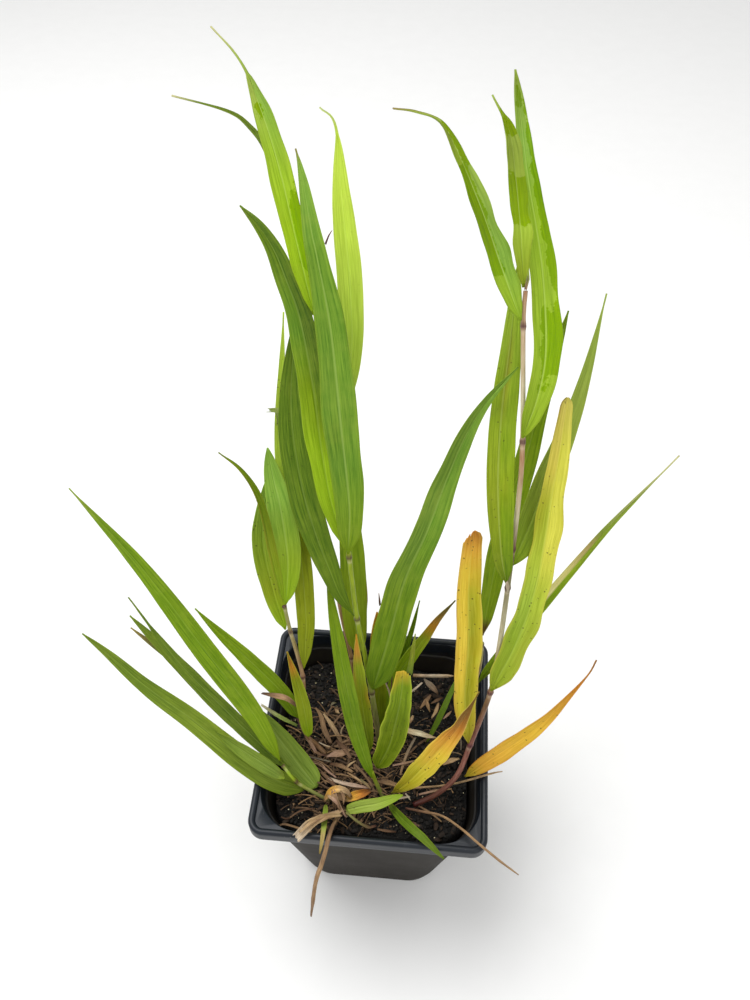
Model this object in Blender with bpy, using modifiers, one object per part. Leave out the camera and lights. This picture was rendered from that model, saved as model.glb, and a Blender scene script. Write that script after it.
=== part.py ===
"""Potted Japanese forest grass: a square plastic nursery pot, its soil, the culms and every leaf."""

import math

import bmesh
import bpy
from mathutils import Quaternion, Vector

mm = 0.001

# Pot: a nine centimetre square nursery pot, 87 mm tall
rim_width = 90 * mm
pot_height = 87 * mm
rim_corner = 6 * mm
lip_width = 2.6 * mm
lip_rise = 1.6 * mm
lip_rounding = 0.3
bow = 0.3
edge_break = 0.2 * mm
skirt_drop = 6 * mm
wall = 1.2 * mm
opening_corner = 16 * mm
body_corner = opening_corner + wall
foot_width = 63 * mm
foot_corner = 15 * mm
foot_chamfer = 1.6 * mm
floor_thickness = 1.6 * mm
step_depth = 9 * mm
step_inset = 0.7 * mm
drain_radius = 3 * mm
drain_offset = 19 * mm
drain_sides = 12
corner_steps = 6

# Soil fills the pot to 13 mm below the rim
soil_level = 74 * mm
gap = 0.35 * mm

# Leaves and culms
leaf_thickness = 0.5 * mm
leaf_rows = 11
narrowest = 0.5 * mm
culm_sides = 2
culm_step = 7 * mm
node_swelling = 1.3
node_length = 1.2 * mm
blade_foot = 0.003
foot_reach = 0.06
foot_power = 0.5
route_steps = 16
fine_points = 400
fewest_points = 4
smooth_angle = 35
upper_side = Vector((0.1, -0.62, 0.78))

# Each culm: the radius at its foot and at its top, the heights of its nodes and its route, in mm
culms = {
    "culm_right": dict(
        radii=(1.05, 0.7),
        nodes=(98, 124, 170, 184, 219, 247),
        route=((17, -25, 76), (26, -21, 79.5), (33, -16, 87), (37, -8, 98), (42, 1, 124), (43, 8, 143),
               (43, 16, 170), (43, 29, 200), (42, 37, 219), (39, 58, 247), (38.7, 64, 255.4)),
    ),
    "culm_centre": dict(
        radii=(1.15, 0.55),
        nodes=(113, 150, 177, 238),
        route=((2, -5, 74.6), (1, -2, 88), (-2, 3, 113), (-5, 8, 132), (-8, 12, 150), (-11, 19, 177),
               (-14.5, 31, 192), (-18.5, 45, 211), (-22.5, 54.5, 227), (-24, 60, 240)),
    ),
    "culm_left": dict(
        radii=(1.0, 0.65),
        nodes=(121, 143, 153),
        route=((-20, -7, 75.5), (-24, -5, 79.5), (-28, -4, 88), (-28, 0, 108), (-28, 3, 121),
               (-30, 6, 135), (-32, 9, 143), (-34, 13, 153)),
    ),
    "culm_low_left": dict(
        radii=(0.75, 0.6),
        nodes=(87, 94),
        route=((-16, -26, 75.3), (-23, -25, 81), (-29, -24, 87), (-34, -21, 94)),
    ),
    "culm_front": dict(
        radii=(0.9, 0.7),
        nodes=(),
        route=((5, -23, 75), (3, -21, 79), (1, -19, 84), (0, -18, 88)),
    ),
    "culm_withered": dict(
        radii=(0.9, 0.6),
        nodes=(117,),
        route=((-9, 15, 74.4), (-10, 15, 98), (-11, 15, 117), (-14, 18, 137), (-16, 22, 148),
               (-19, 31, 168)),
    ),
    "culm_right_back": dict(
        radii=(1.0, 0.7),
        nodes=(92, 111),
        route=((37, 17, 74.4), (38, 19, 90), (40, 24, 102), (40, 29, 112)),
    ),
}

# Each leaf: blade width in mm, where it is widest, how fast it tapers, how much of the blade is left,
# turn about the midrib at base and tip and fold along it in degrees, the midrib's route in mm, and
# for a few the part of the length that is only a thin thread at the tip
leaves = {
    "leaf_right_1": dict(width=7.2, widest=0.28, taper=2.4, left=1, turn=(0, 10), fold=14,
        route=((36, -16, 86), (44, -13.5, 97), (50, -11.5, 104.5), (55.5, -9.5, 111), (63, -6, 120.5),
               (69.5, -1.5, 130.5), (75, 3, 139), (77, 6, 144))),
    "leaf_right_2": dict(width=9.6, widest=0.36, taper=1.3, left=0.76, turn=(0, 0), fold=12,
        route=((36, -9, 101), (33, -1, 120), (32, 9, 146), (30, 18, 169), (30, 26, 187))),
    "leaf_right_3": dict(width=10.4, widest=0.28, taper=1.2, left=0.84, turn=(0, 0), fold=12,
        route=((41.8, -0.3, 127.5), (49, 9, 149), (53, 19.5, 170.5), (54.2, 33, 195.5),
               (55.5, 45.5, 212.5), (56.3, 54.5, 222.5))),
    "leaf_right_4": dict(width=9.2, widest=0.4, taper=1.1, left=1, turn=(0, 0), fold=14,
        route=((42, 14.5, 174.5), (39, 20, 188), (36.5, 33, 205), (36, 48, 221), (37, 64.5, 236),
               (37.5, 83.5, 251))),
    "leaf_right_5": dict(width=9, widest=0.2, taper=1.5, left=1, turn=(0, 0), fold=12,
        route=((43.8, 20.9, 176), (48.5, 30.8, 185), (53.3, 43.3, 195), (59, 56, 206.5), (63.5, 69, 220),
               (68, 87.5, 239))),
    "leaf_right_6": dict(width=9, widest=0.32, taper=1.05, left=1, turn=(0, 0), fold=22,
        route=((41.5, 36, 221.5), (45, 44, 230.5), (46.5, 55, 241), (43.5, 73.5, 258), (37, 93, 277),
               (31.5, 118, 296))),
    "leaf_right_7": dict(width=7.2, widest=0.3, taper=1.5, left=1, turn=(0, 30), thread=0.12, fold=14,
        route=((38, 58, 249), (30.3, 67.3, 262.5), (24.2, 74.2, 274), (16.3, 81.5, 287),
               (10.4, 85.2, 294.7), (3.3, 83, 298.6), (-2.8, 79.3, 301))),
    "leaf_right_8": dict(width=6.4, widest=0.45, taper=1.2, left=1, turn=(0, 0), thread=0.1, fold=30,
        route=((38, 64, 256.5), (36, 72, 267.5), (33, 82, 280.5), (30, 91, 290.5), (24.5, 98.5, 297))),
    "leaf_back_1": dict(width=9, widest=0.4, taper=1.3, left=1, turn=(0, 0), fold=12,
        route=((40, 31, 114), (41, 39, 135), (43, 48, 155), (48, 61, 183), (51, 71, 203),
               (57, 88, 231))),
    "leaf_back_2": dict(width=4.8, widest=0.3, taper=2, left=1, turn=(-20, -20), fold=20,
        route=((40, 20, 95), (44, 22, 106), (57, 33, 124), (71, 46, 141), (85, 59, 156),
               (109, 82, 171))),
    "leaf_centre_1": dict(width=12, widest=0.25, taper=1.17, left=1, turn=(0, 0), fold=14,
        route=((-1.5, 2, 117), (3.5, 10, 140.5), (8, 19, 164.5), (14.5, 27, 183), (19.5, 37, 197.5),
               (24.8, 43, 214), (30.3, 47, 225.4), (38.8, 52.7, 235.4))),
    "leaf_centre_2": dict(width=10.4, widest=0.45, taper=1.8, left=1, turn=(0, 0), fold=14,
        route=((-8.8, 9.8, 155), (-13, 12.5, 161), (-16.5, 16, 168), (-25.5, 28.5, 188), (-31, 42, 206),
               (-33, 53.5, 217.5), (-33, 66, 229), (-32.5, 75, 238))),
    "leaf_centre_3": dict(width=11, widest=0.33, taper=1.3, left=1, turn=(0, 0), fold=12,
        route=((-11, 16.5, 182), (-10.8, 22.5, 199), (-14.2, 35.5, 220.5), (-19, 54.5, 244.5),
               (-23.9, 67.5, 259.8), (-26.5, 74.5, 266), (-30.6, 87.8, 276.2), (-33, 94, 280.5))),
    "leaf_centre_4": dict(width=10, widest=0.42, taper=1.3, left=1, turn=(0, 0), fold=20,
        route=((-12.6, 19.8, 181), (-17.6, 27.5, 196.5), (-21, 36, 211), (-23.5, 44.5, 224),
               (-27, 55, 235.5), (-30.5, 63.5, 244), (-34.5, 70, 250), (-39, 77, 256), (-44.5, 82.5, 261),
               (-50.7, 87.5, 264.5))),
    "leaf_centre_5": dict(width=8.4, widest=0.5, taper=1.8, left=1, turn=(0, 0), thread=0.08, fold=10,
        route=((-17, 47.5, 206.5), (-14, 62.5, 224), (-15.5, 78.5, 241.5), (-20, 98.5, 262),
               (-23.5, 116, 277), (-29, 120, 281))),
    "leaf_centre_6": dict(width=8.2, widest=0.45, taper=1.1, left=1, turn=(0, 0), thread=0.19, fold=26,
        route=((-25, 61.5, 244), (-29, 70.5, 254), (-32.5, 78.5, 262.5), (-36.5, 87.5, 273.5),
               (-41, 96, 283.5), (-45.5, 103.5, 291), (-49, 108.5, 296.5), (-53.5, 113, 300.5),
               (-60.5, 118, 305))),
    "leaf_centre_7": dict(width=3, widest=0.3, taper=1.8, left=1, turn=(0, 0), fold=10,
        route=((-26, 65, 241.5), (-35, 85, 260), (-43, 101.5, 274), (-50, 108, 280), (-57, 110, 283.5),
               (-74, 111, 287))),
    "leaf_centre_8": dict(width=9.6, widest=0.32, taper=1.3, left=1, turn=(0, 0), fold=10,
        route=((-8, 11.5, 125.5), (-10, 21, 144.5), (-11.5, 31, 162), (-14.5, 44.5, 181.5),
               (-18.5, 58.5, 197))),
    "leaf_left_1": dict(width=5.4, widest=0.36, taper=1.4, left=1, turn=(0, 0), fold=14,
        route=((-26, -7.4, 91.4), (-27, -4.8, 106.8), (-29, -1.2, 119.7), (-33.2, 5, 135))),
    "leaf_left_2": dict(width=7, widest=0.32, taper=1.5, left=1, turn=(0, 0), fold=10,
        route=((-27, 2.4, 128.5), (-26.3, 7, 141), (-26.2, 11.2, 149.6), (-28.5, 23.3, 168.4),
               (-34, 38.5, 188), (-37.3, 52, 202), (-39, 82, 228.5))),
    "leaf_left_3": dict(width=8.2, widest=0.4, taper=1.3, left=1, turn=(0, 0), fold=14,
        route=((-34, 10, 142), (-39, 19, 155), (-43, 29.5, 169), (-41.5, 39, 184), (-39, 45.5, 191.5))),
    "leaf_left_4": dict(width=10, widest=0.45, taper=1.3, left=1, turn=(0, 0), fold=12,
        route=((-33, 12, 156), (-32.5, 20.5, 171.5), (-35, 29, 188), (-38, 36, 196.5),
               (-40, 41.5, 204))),
    "leaf_left_5": dict(width=4.4, widest=0.4, taper=1.4, left=1, turn=(50, 60), fold=20,
        route=((-33.5, 10.5, 159.5), (-36.5, 16, 176), (-39, 21.5, 190), (-41.5, 25.5, 198.5),
               (-46.5, 29, 206), (-53.5, 31.5, 211))),
    "leaf_left_6": dict(width=7, widest=0.33, taper=1.4, left=1, turn=(0, 0), fold=14,
        route=((-30.5, -2, 96), (-37, 3, 106), (-49, 9, 118), (-63, 16, 129), (-71, 21, 134))),
    "leaf_low_1": dict(width=8.8, widest=0.33, taper=1.6, left=1, turn=(0, 0), fold=12,
        route=((-35, -20, 96), (-46, -9, 113), (-64, 5, 131), (-91, 28, 150), (-122, 52, 163))),
    "leaf_low_2": dict(width=6, widest=0.35, taper=1.2, left=1, turn=(0, 0), thread=0.12, fold=14,
        route=((-34, -20, 90.5), (-55.5, -7.5, 105.5), (-77, 6, 120.5), (-97.5, 23.5, 134.5))),
    "leaf_low_3": dict(width=6, widest=0.45, taper=1.4, left=1, turn=(0, 0), fold=12,
        route=((-34.5, -18, 87.5), (-57.5, -5, 101), (-77, 8, 112), (-99.5, 23, 122))),
    "leaf_low_4": dict(width=3.6, widest=0.5, taper=1.4, left=1, turn=(0, 0), fold=12,
        route=((-32.4, -17.8, 85.4), (-53, -6, 93.5), (-74, 8, 105.5), (-100.5, 22, 114.5))),
    "leaf_low_5": dict(width=5.8, widest=0.4, taper=1.2, left=1, turn=(0, 0), fold=14,
        route=((-33, -25, 91.7), (-40.2, -23, 98), (-48, -20.4, 102.4), (-59, -15.6, 106.5))),
    "leaf_low_6": dict(width=9.4, widest=0.2, taper=0.9, left=1, turn=(0, 0), fold=10,
        route=((-26.5, -24, 79), (-40, -23.5, 89), (-54.5, -18, 98), (-71, -10, 106.5),
               (-88, -2.5, 113.5), (-103, 6, 120), (-115, 12.5, 123.5))),
    "leaf_low_7": dict(width=11, widest=0.3, taper=1, left=1, turn=(0, 0), fold=10,
        route=((-21.6, -21.7, 76.8), (-30, -14.3, 81), (-39, -7, 89.5), (-47.5, 0, 97.5))),
    "leaf_front_1": dict(width=9, widest=0.4, taper=2.4, left=1, turn=(0, 0), fold=12,
        route=((8, -23.5, 82), (14, -22, 90.5), (21, -18, 101.5), (25.5, -15, 109), (30, -12, 117),
               (33.5, -8.5, 125), (37, -4, 133))),
    "leaf_front_2": dict(width=10.2, widest=0.35, taper=1.1, left=0.84, turn=(0, 0), fold=12,
        route=((1.8, -16.3, 88), (5.5, -13.3, 98.7), (7.5, -10.4, 110.2), (9.3, -6.3, 126.5),
               (9.7, -1.4, 139))),
    "leaf_front_3": dict(width=6.6, widest=0.4, taper=1.3, left=1, turn=(0, 0), fold=14,
        route=((0.2, -20.8, 89), (-6.3, -11.6, 107.5), (-10.2, -4.5, 126.8), (-14.3, 5.7, 144.8),
               (-16.5, 11.8, 153.3), (-19.3, 20.7, 163))),
    "leaf_front_4": dict(width=6, widest=0.35, taper=1.3, left=1, turn=(0, 0), fold=14,
        route=((-1.5, -12.5, 93.5), (-4.5, -4.5, 112), (-7, 3, 134), (-8, 8.5, 145))),
    "leaf_front_5": dict(width=6, widest=0.5, taper=1.3, left=1, turn=(0, 0), fold=10,
        route=((1, 2, 75), (0.5, 6, 110), (-1, 10, 138), (-1, 14, 152))),
    "leaf_inner_1": dict(width=5.8, widest=0.4, taper=1.7, left=1, turn=(0, 0), fold=14,
        route=((2, 13, 75), (8, 21, 97), (17, 28, 114), (22, 33, 121), (28, 38, 127))),
    "leaf_inner_2": dict(width=2.6, widest=0.4, taper=1.4, left=1, turn=(0, 0), fold=10,
        route=((5, 24, 75.6), (9, 28, 98.5), (12, 34, 112), (14, 39, 123.5))),
    "leaf_inner_3": dict(width=2.4, widest=0.4, taper=1.4, left=1, turn=(0, 0), fold=10,
        route=((21, 2, 75), (25, 8, 84), (29, 15, 94), (33, 22, 104))),
    "leaf_spent_1": dict(width=2.6, widest=0.35, taper=1.3, left=1, turn=(0, 0), fold=10,
        route=((-19.5, 32, 169.5), (-24, 36, 180), (-29, 43, 192), (-31, 48, 198))),
    "leaf_sprout_1": dict(width=5, widest=0.35, taper=0.9, left=1, turn=(0, 0), fold=10,
        route=((-9, -30.7, 80), (-3.6, -30, 83), (3, -29, 85), (12.5, -25.3, 86))),
    "leaf_sprout_2": dict(width=3.7, widest=0.4, taper=1, left=1, turn=(0, 0), fold=14,
        route=((7.3, -25.4, 76), (11.5, -32, 83), (17, -39, 89.5), (21.2, -42.5, 90.3), (29, -48, 87))),
    "leaf_sprout_3": dict(width=2.1, widest=0.4, taper=0.8, left=1, turn=(0, 0), fold=10,
        route=((-17.3, -28, 76.5), (-16.4, -36, 84), (-15.9, -45.2, 89.7), (-16.3, -50.6, 88.5))),
}

# Each dry stalk: radius and route in mm
stalks = {
    "stalk_over_front": dict(radius=1, route=((-12.3, -33, 77.5), (-12.9, -39.5, 86.2),
                                              (-13.3, -42.6, 88.9), (-13.7, -46, 90.3), (-14.2, -50, 90),
                                              (-15.3, -53.8, 87), (-17.2, -58, 80),
                                              (-18.4, -66.7, 68.5))),
    "stalk_over_corner": dict(radius=0.6, route=((14, -26.5, 75.8), (21, -28.5, 79), (28, -31, 83),
                                                 (35, -37, 88.2), (41.3, -42.5, 90), (49.3, -47, 87),
                                                 (56.5, -50, 83))),
    "stalk_right": dict(radius=0.5, route=((10, -19, 75.5), (30, -17, 79), (46, -15.5, 90),
                                           (50, -15, 91.5))),
    "stalk_lying": dict(radius=0.9, route=((13.5, 31, 77), (22, 31.2, 77.5), (31, 32.3, 77))),
}

# Each withered leaf: as a leaf, and it lies in the pot
withered = {
    "withered_leaf_left": dict(width=4, widest=0.5, taper=0.7, left=1, turn=(0, 0), fold=30,
        route=((-30.6, -1.6, 105.5), (-34.6, -0.2, 108.4), (-40, 0.7, 108.4), (-44.5, 1.8, 107))),
    "withered_leaf_front": dict(width=3.6, widest=0.6, taper=0.5, left=1, turn=(10, 20), fold=36,
        route=((-10.8, -33.8, 83), (-14, -35.6, 86.5), (-17, -38, 89.6), (-21, -41, 90.6),
               (-25, -46, 90.5))),
    "withered_leaf_brown": dict(width=3.6, widest=0.5, taper=0.6, left=1, turn=(0, 20), fold=30,
        route=((-10.4, -25.8, 77.3), (-7.3, -24.9, 78.5), (-4, -23.6, 79), (-0.5, -21.7, 78))),
}

# Colour, roughness and metallic value of each finish
finishes = {
    "pot_plastic": ((0.045, 0.055, 0.065, 1), 0.42, 0),
    "potting_soil": ((0.03, 0.022, 0.016, 1), 0.95, 0),
    "green_blade": ((0.2, 0.36, 0.03, 1), 0.5, 0),
    "yellow_blade": ((0.68, 0.52, 0.05, 1), 0.5, 0),
    "culm_skin": ((0.42, 0.32, 0.14, 1), 0.45, 0),
    "dry_straw": ((0.48, 0.34, 0.18, 1), 0.8, 0),
}
yellow_leaves = ("leaf_right_1", "leaf_right_2", "leaf_front_1")


def clear_scene():
    for old in list(bpy.data.objects):
        bpy.data.objects.remove(old, do_unlink=True)


def make_finishes():
    made = {}
    for name, (colour, roughness, metallic) in finishes.items():
        material = bpy.data.materials.new(name)
        material.use_nodes = True
        shader = material.node_tree.nodes["Principled BSDF"]
        shader.inputs["Base Color"].default_value = colour
        shader.inputs["Roughness"].default_value = roughness
        shader.inputs["Metallic"].default_value = metallic
        made[name] = material
    return made


def add_object(name, data, material, collection):
    obj = bpy.data.objects.new(name, data)
    data.materials.append(material)
    collection.objects.link(obj)
    return obj


def mesh_from(bm, name, smooth=True):
    bmesh.ops.recalc_face_normals(bm, faces=bm.faces)
    mesh = bpy.data.meshes.new(name)
    bm.to_mesh(mesh)
    bm.free()
    if smooth:
        mesh.shade_smooth()
        mesh.set_sharp_from_angle(angle=math.radians(smooth_angle))
    return mesh


def rounded_square(half, corner, height):
    """Points of a square with round corners, counter-clockwise from the right side."""
    points = []
    for quarter in range(4):
        start = quarter * math.pi / 2
        turn = Quaternion((0, 0, 1), start)
        centre = turn @ Vector((half - corner, half - corner, 0))
        for step in range(corner_steps + 1):
            angle = start + step * math.pi / 2 / corner_steps
            outward = Vector((math.cos(angle), math.sin(angle), 0))
            points.append(centre + outward * corner + Vector((0, 0, height)))
    return points


def loft(name, rings, smooth=True):
    """A closed body through rings of equal count, with a flat cap on the first and the last."""
    bm = bmesh.new()
    loops = [[bm.verts.new(point) for point in ring] for ring in rings]
    for lower, upper in zip(loops, loops[1:]):
        for i in range(len(lower)):
            j = (i + 1) % len(lower)
            bm.faces.new((lower[i], lower[j], upper[j], upper[i]))
    bm.faces.new(reversed(loops[0]))
    bm.faces.new(loops[-1])
    return mesh_from(bm, name, smooth)


def outer_half(height):
    """Half width of the pot's outer wall at a height, straight from foot to rim."""
    top_half = rim_width / 2 - lip_width + wall
    return foot_width / 2 + (top_half - foot_width / 2) * height / pot_height


def wall_corner(height):
    return foot_corner + (body_corner - foot_corner) * height / pot_height


def make_pot(material, collection, cutters):
    rim_half = rim_width / 2
    skirt_bottom = pot_height - skirt_drop
    ledge_top = pot_height - lip_rise
    ledge_under = ledge_top - wall
    lip_half = rim_half - lip_width
    step_height = pot_height - step_depth
    step_half = outer_half(step_height) - wall
    step_corner = wall_corner(step_height) - wall
    soft = lip_width * lip_rounding
    rings = [
        (foot_width / 2 - foot_chamfer, foot_corner - foot_chamfer, 0),
        (foot_width / 2, foot_corner, foot_chamfer),
        (outer_half(ledge_under), wall_corner(ledge_under), ledge_under),
        (rim_half - wall, rim_corner - wall, ledge_under),
        (rim_half - wall, rim_corner - wall, skirt_bottom),
        (rim_half, rim_corner, skirt_bottom),
        (rim_half, rim_corner, pot_height - soft),
        (rim_half - soft * bow, rim_corner - soft * bow, pot_height - soft * bow),
        (rim_half - soft, rim_corner - soft, pot_height),
        (lip_half + soft, rim_corner - lip_width + soft, pot_height),
        (lip_half, rim_corner - lip_width, ledge_top),
        (lip_half - edge_break, opening_corner, ledge_top - edge_break),
        (step_half, step_corner, step_height),
        (step_half - step_inset, step_corner, step_height - step_inset),
        (outer_half(floor_thickness) - wall, foot_corner - wall, floor_thickness),
    ]
    mesh = loft("pot", [rounded_square(*ring) for ring in rings])
    pot = add_object("pot", mesh, material, collection)
    for number, (side_x, side_y) in enumerate(((1, 1), (-1, 1), (-1, -1), (1, -1))):
        bm = bmesh.new()
        bmesh.ops.create_cone(bm, cap_ends=True, segments=drain_sides,
                              radius1=drain_radius, radius2=drain_radius,
                              depth=floor_thickness * 4)
        cutter = bpy.data.objects.new(f"drain_cutter_{number + 1}", mesh_from(bm, "drain_cutter", False))
        cutter.location = (side_x * drain_offset, side_y * drain_offset, 0)
        cutter.hide_render = True
        cutter.display_type = "WIRE"
        cutters.objects.link(cutter)
        hole = pot.modifiers.new(f"drain_{number + 1}", "BOOLEAN")
        hole.operation = "DIFFERENCE"
        hole.object = cutter
    return pot


def inner_half(height):
    inset = wall if height > pot_height - step_depth else wall + step_inset
    return outer_half(height) - inset


def make_soil(material, collection):
    bottom = floor_thickness + gap
    rings = [
        (inner_half(bottom) - gap, foot_corner - wall - gap, bottom),
        (inner_half(soil_level) - gap, wall_corner(soil_level) - wall - gap, soil_level),
    ]
    mesh = loft("soil", [rounded_square(*ring) for ring in rings], False)
    return add_object("soil", mesh, material, collection)


def smooth_route(points, count):
    """Evenly spread points on a smooth curve through the given ones."""
    points = [Vector(point) * mm for point in points]
    ends = [points[0] * 2 - points[1]] + points + [points[-1] * 2 - points[-2]]
    fine = []
    for i in range(1, len(ends) - 2):
        a, b, c, d = ends[i - 1:i + 3]
        for step in range(route_steps):
            t = step / route_steps
            fine.append(0.5 * (2 * b + (c - a) * t + (2 * a - 5 * b + 4 * c - d) * t * t
                               + (3 * b - a - 3 * c + d) * t ** 3))
    fine.append(points[-1])
    lengths = [0]
    for before, after in zip(fine, fine[1:]):
        lengths.append(lengths[-1] + (after - before).length)
    route = []
    j = 0
    for i in range(count):
        target = lengths[-1] * i / (count - 1)
        while j < len(fine) - 2 and lengths[j + 1] < target:
            j += 1
        span = max(lengths[j + 1] - lengths[j], 1e-9)
        route.append(fine[j].lerp(fine[j + 1], min((target - lengths[j]) / span, 1)))
    return route, lengths[-1]


def directions(route):
    found = []
    for i in range(len(route)):
        found.append((route[min(i + 1, len(route) - 1)] - route[max(i - 1, 0)]).normalized())
    return found


def make_rod(name, route, radii, material, collection):
    """A round rod on a POLY curve through the route, with a radius at each point."""
    data = bpy.data.curves.new(name, "CURVE")
    data.dimensions = "3D"
    data.bevel_depth = 1
    data.bevel_resolution = culm_sides
    data.use_fill_caps = True
    spline = data.splines.new("POLY")
    spline.points.add(len(route) - 1)
    for point, place, radius in zip(spline.points, route, radii):
        point.co = (*place, 1)
        point.radius = radius
    return add_object(name, data, material, collection)


def make_culm(name, radii, nodes, route, material, collection):
    length = smooth_route(route, 2)[1]
    count = max(fewest_points, round(length / culm_step))
    points = smooth_route(route, count)[0]
    heights = sorted([point.z for point in points] + [node * mm for node in nodes])
    fine = smooth_route(route, fine_points)[0]
    places = []
    widths = []
    for height in heights:
        place = min(fine, key=lambda point: abs(point.z - height))
        if places and (place - places[-1]).length < node_length:
            continue
        along = len(places) / len(heights)
        radius = (radii[0] + (radii[1] - radii[0]) * along) * mm
        is_node = any(abs(height - node * mm) < 1e-6 for node in nodes)
        places.append(place)
        widths.append(radius * node_swelling if is_node else radius)
    return make_rod(name, places, widths, material, collection)


def blade_width(along, width, widest, taper, thread):
    """Width of a lance-shaped blade, narrow at its foot and drawn out to a point or a thread."""
    along = min(along / (1 - thread), 1)
    rise = ((along + blade_foot) / (widest + blade_foot)) ** (taper * widest)
    fall = (max(1 - along, 0) / (1 - widest)) ** (taper * (1 - widest))
    foot = min(along / foot_reach, 1) ** foot_power
    return max(width * mm * rise * fall * foot, narrowest)


def make_leaf(name, width, widest, taper, left, turn, fold, route, material, collection, thread=0):
    """A thin blade along its midrib: a grid bent to the route and given its thickness."""
    rows = leaf_rows
    points, _ = smooth_route(route, rows + 1)
    along_blade = directions(points)
    bm = bmesh.new()
    bmesh.ops.create_grid(bm, x_segments=2, y_segments=rows, size=0.5)
    for vert in bm.verts:
        row = round((vert.co.y + 0.5) * rows)
        side = vert.co.x * 2
        along = row / rows
        forward = along_blade[row]
        across = forward.cross(upper_side).normalized()
        roll = math.radians(turn[0] + (turn[1] - turn[0]) * along)
        across = Quaternion(forward, roll) @ across
        face = across.cross(forward)
        half = blade_width(along * left, width, widest, taper, thread) / 2
        lift = math.radians(fold) * abs(side)
        vert.co = points[row] + across * side * half * math.cos(lift) + face * half * math.sin(lift)
    mesh = mesh_from(bm, name)
    leaf = add_object(name, mesh, material, collection)
    solid = leaf.modifiers.new("thickness", "SOLIDIFY")
    solid.thickness = leaf_thickness
    solid.offset = 0
    return leaf


def make_stalk(name, radius, route, material, collection):
    count = max(fewest_points, round(smooth_route(route, 2)[1] / culm_step))
    points = smooth_route(route, count)[0]
    return make_rod(name, points, [radius * mm] * len(points), material, collection)


def main():
    clear_scene()
    made = make_finishes()
    plant = bpy.data.collections.new("potted_japanese_forest_grass")
    cutters = bpy.data.collections.new("cutters")
    bpy.context.scene.collection.children.link(plant)
    bpy.context.scene.collection.children.link(cutters)
    make_pot(made["pot_plastic"], plant, cutters)
    make_soil(made["potting_soil"], plant)
    for name, culm in culms.items():
        make_culm(name, material=made["culm_skin"], collection=plant, **culm)
    for name, leaf in leaves.items():
        finish = "yellow_blade" if name in yellow_leaves else "green_blade"
        make_leaf(name, material=made[finish], collection=plant, **leaf)
    for name, leaf in withered.items():
        make_leaf(name, material=made["dry_straw"], collection=plant, **leaf)
    for name, stalk in stalks.items():
        make_stalk(name, material=made["dry_straw"], collection=plant, **stalk)


main()
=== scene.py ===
import math

import bmesh
import bpy
from mathutils import Matrix, Quaternion, Vector, noise


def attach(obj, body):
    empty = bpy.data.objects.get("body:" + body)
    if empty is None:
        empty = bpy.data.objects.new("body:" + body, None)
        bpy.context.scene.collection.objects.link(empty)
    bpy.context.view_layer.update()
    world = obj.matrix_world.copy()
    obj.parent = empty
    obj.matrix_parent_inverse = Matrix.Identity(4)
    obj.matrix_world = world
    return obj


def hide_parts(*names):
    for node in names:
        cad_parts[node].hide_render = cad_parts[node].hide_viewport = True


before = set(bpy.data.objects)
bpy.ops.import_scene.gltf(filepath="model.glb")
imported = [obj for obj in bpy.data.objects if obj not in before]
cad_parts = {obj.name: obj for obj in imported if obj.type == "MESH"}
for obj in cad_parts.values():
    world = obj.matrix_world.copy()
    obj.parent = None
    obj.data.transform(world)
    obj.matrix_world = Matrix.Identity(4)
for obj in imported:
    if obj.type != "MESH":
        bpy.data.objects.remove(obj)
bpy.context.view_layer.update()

mm = 0.001
mapScale = 100             # a unit of a piece's own map is a centimetre
noiseRange = (0.3, 0.7)    # where most values of a noise lie
fewestRings = 8            # of a culm or stalk
print("frame loaded")


def srgb(red, green, blue):
    # a colour as a paint program gives it, 0 to 255, turned into the linear values that Blender mixes
    values = []
    for value in (red, green, blue):
        part = value / 255
        values.append(part / 12.92 if part <= 0.04045 else ((part + 0.055) / 1.055) ** 2.4)
    return (*values, 1)


# the photograph's viewing angle
cameraView = {
    "place": (0.0119, -0.1516, 0.411),
    "heading": 4.76,       # degrees to the left of straight on
    "tilt": 49.91,         # degrees below the horizon
    "roll": 0.2,
    "lens": 30.96,
    "nearest": 0.01,
}
studio = {
    "skyStrength": 0.66,
    "aim": (0, 0, 0.12),   # what the light panels face
    "panels": {
        "keyPanel": dict(place=(-0.35, 0.25, 1.1), size=0.8, power=9.2),
        "fillPanel": dict(place=(0.5, -0.6, 0.7), size=1.2, power=2.5),
    },
    "floorSize": 3,
    "floorDrop": 0.0002,   # keeps the floor just under the pot's foot
    "floorColour": srgb(243, 243, 242),
    "floorShade": 0.985,
    "floorGrain": 60,
    "floorRoughness": 0.9,
}


def addCamera(view):
    heading, tilt, roll = (math.radians(view[part]) for part in ("heading", "tilt", "roll"))
    right = Vector((math.cos(heading), math.sin(heading), 0))
    level = math.cos(tilt)
    forward = Vector((-math.sin(heading) * level, math.cos(heading) * level, -math.sin(tilt)))
    up = right.cross(forward)
    side = right * math.cos(roll) + up * math.sin(roll)
    top = up * math.cos(roll) - right * math.sin(roll)
    turn = Matrix((side, top, -forward)).transposed().to_4x4()
    camera = bpy.data.objects.new("camera", bpy.data.cameras.new("camera"))
    camera.data.lens = view["lens"]
    camera.data.clip_start = view["nearest"]
    camera.matrix_world = Matrix.Translation(view["place"]) @ turn
    bpy.context.scene.collection.objects.link(camera)
    bpy.context.scene.camera = camera


def addPanel(name, aim, place, size, power):
    light = bpy.data.lights.new(name, "AREA")
    light.shape = "DISK"
    light.size = size
    light.energy = power
    panel = bpy.data.objects.new(name, light)
    panel.location = place
    panel.rotation_euler = (Vector(aim) - panel.location).to_track_quat("-Z", "Y").to_euler()
    bpy.context.scene.collection.objects.link(panel)


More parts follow.
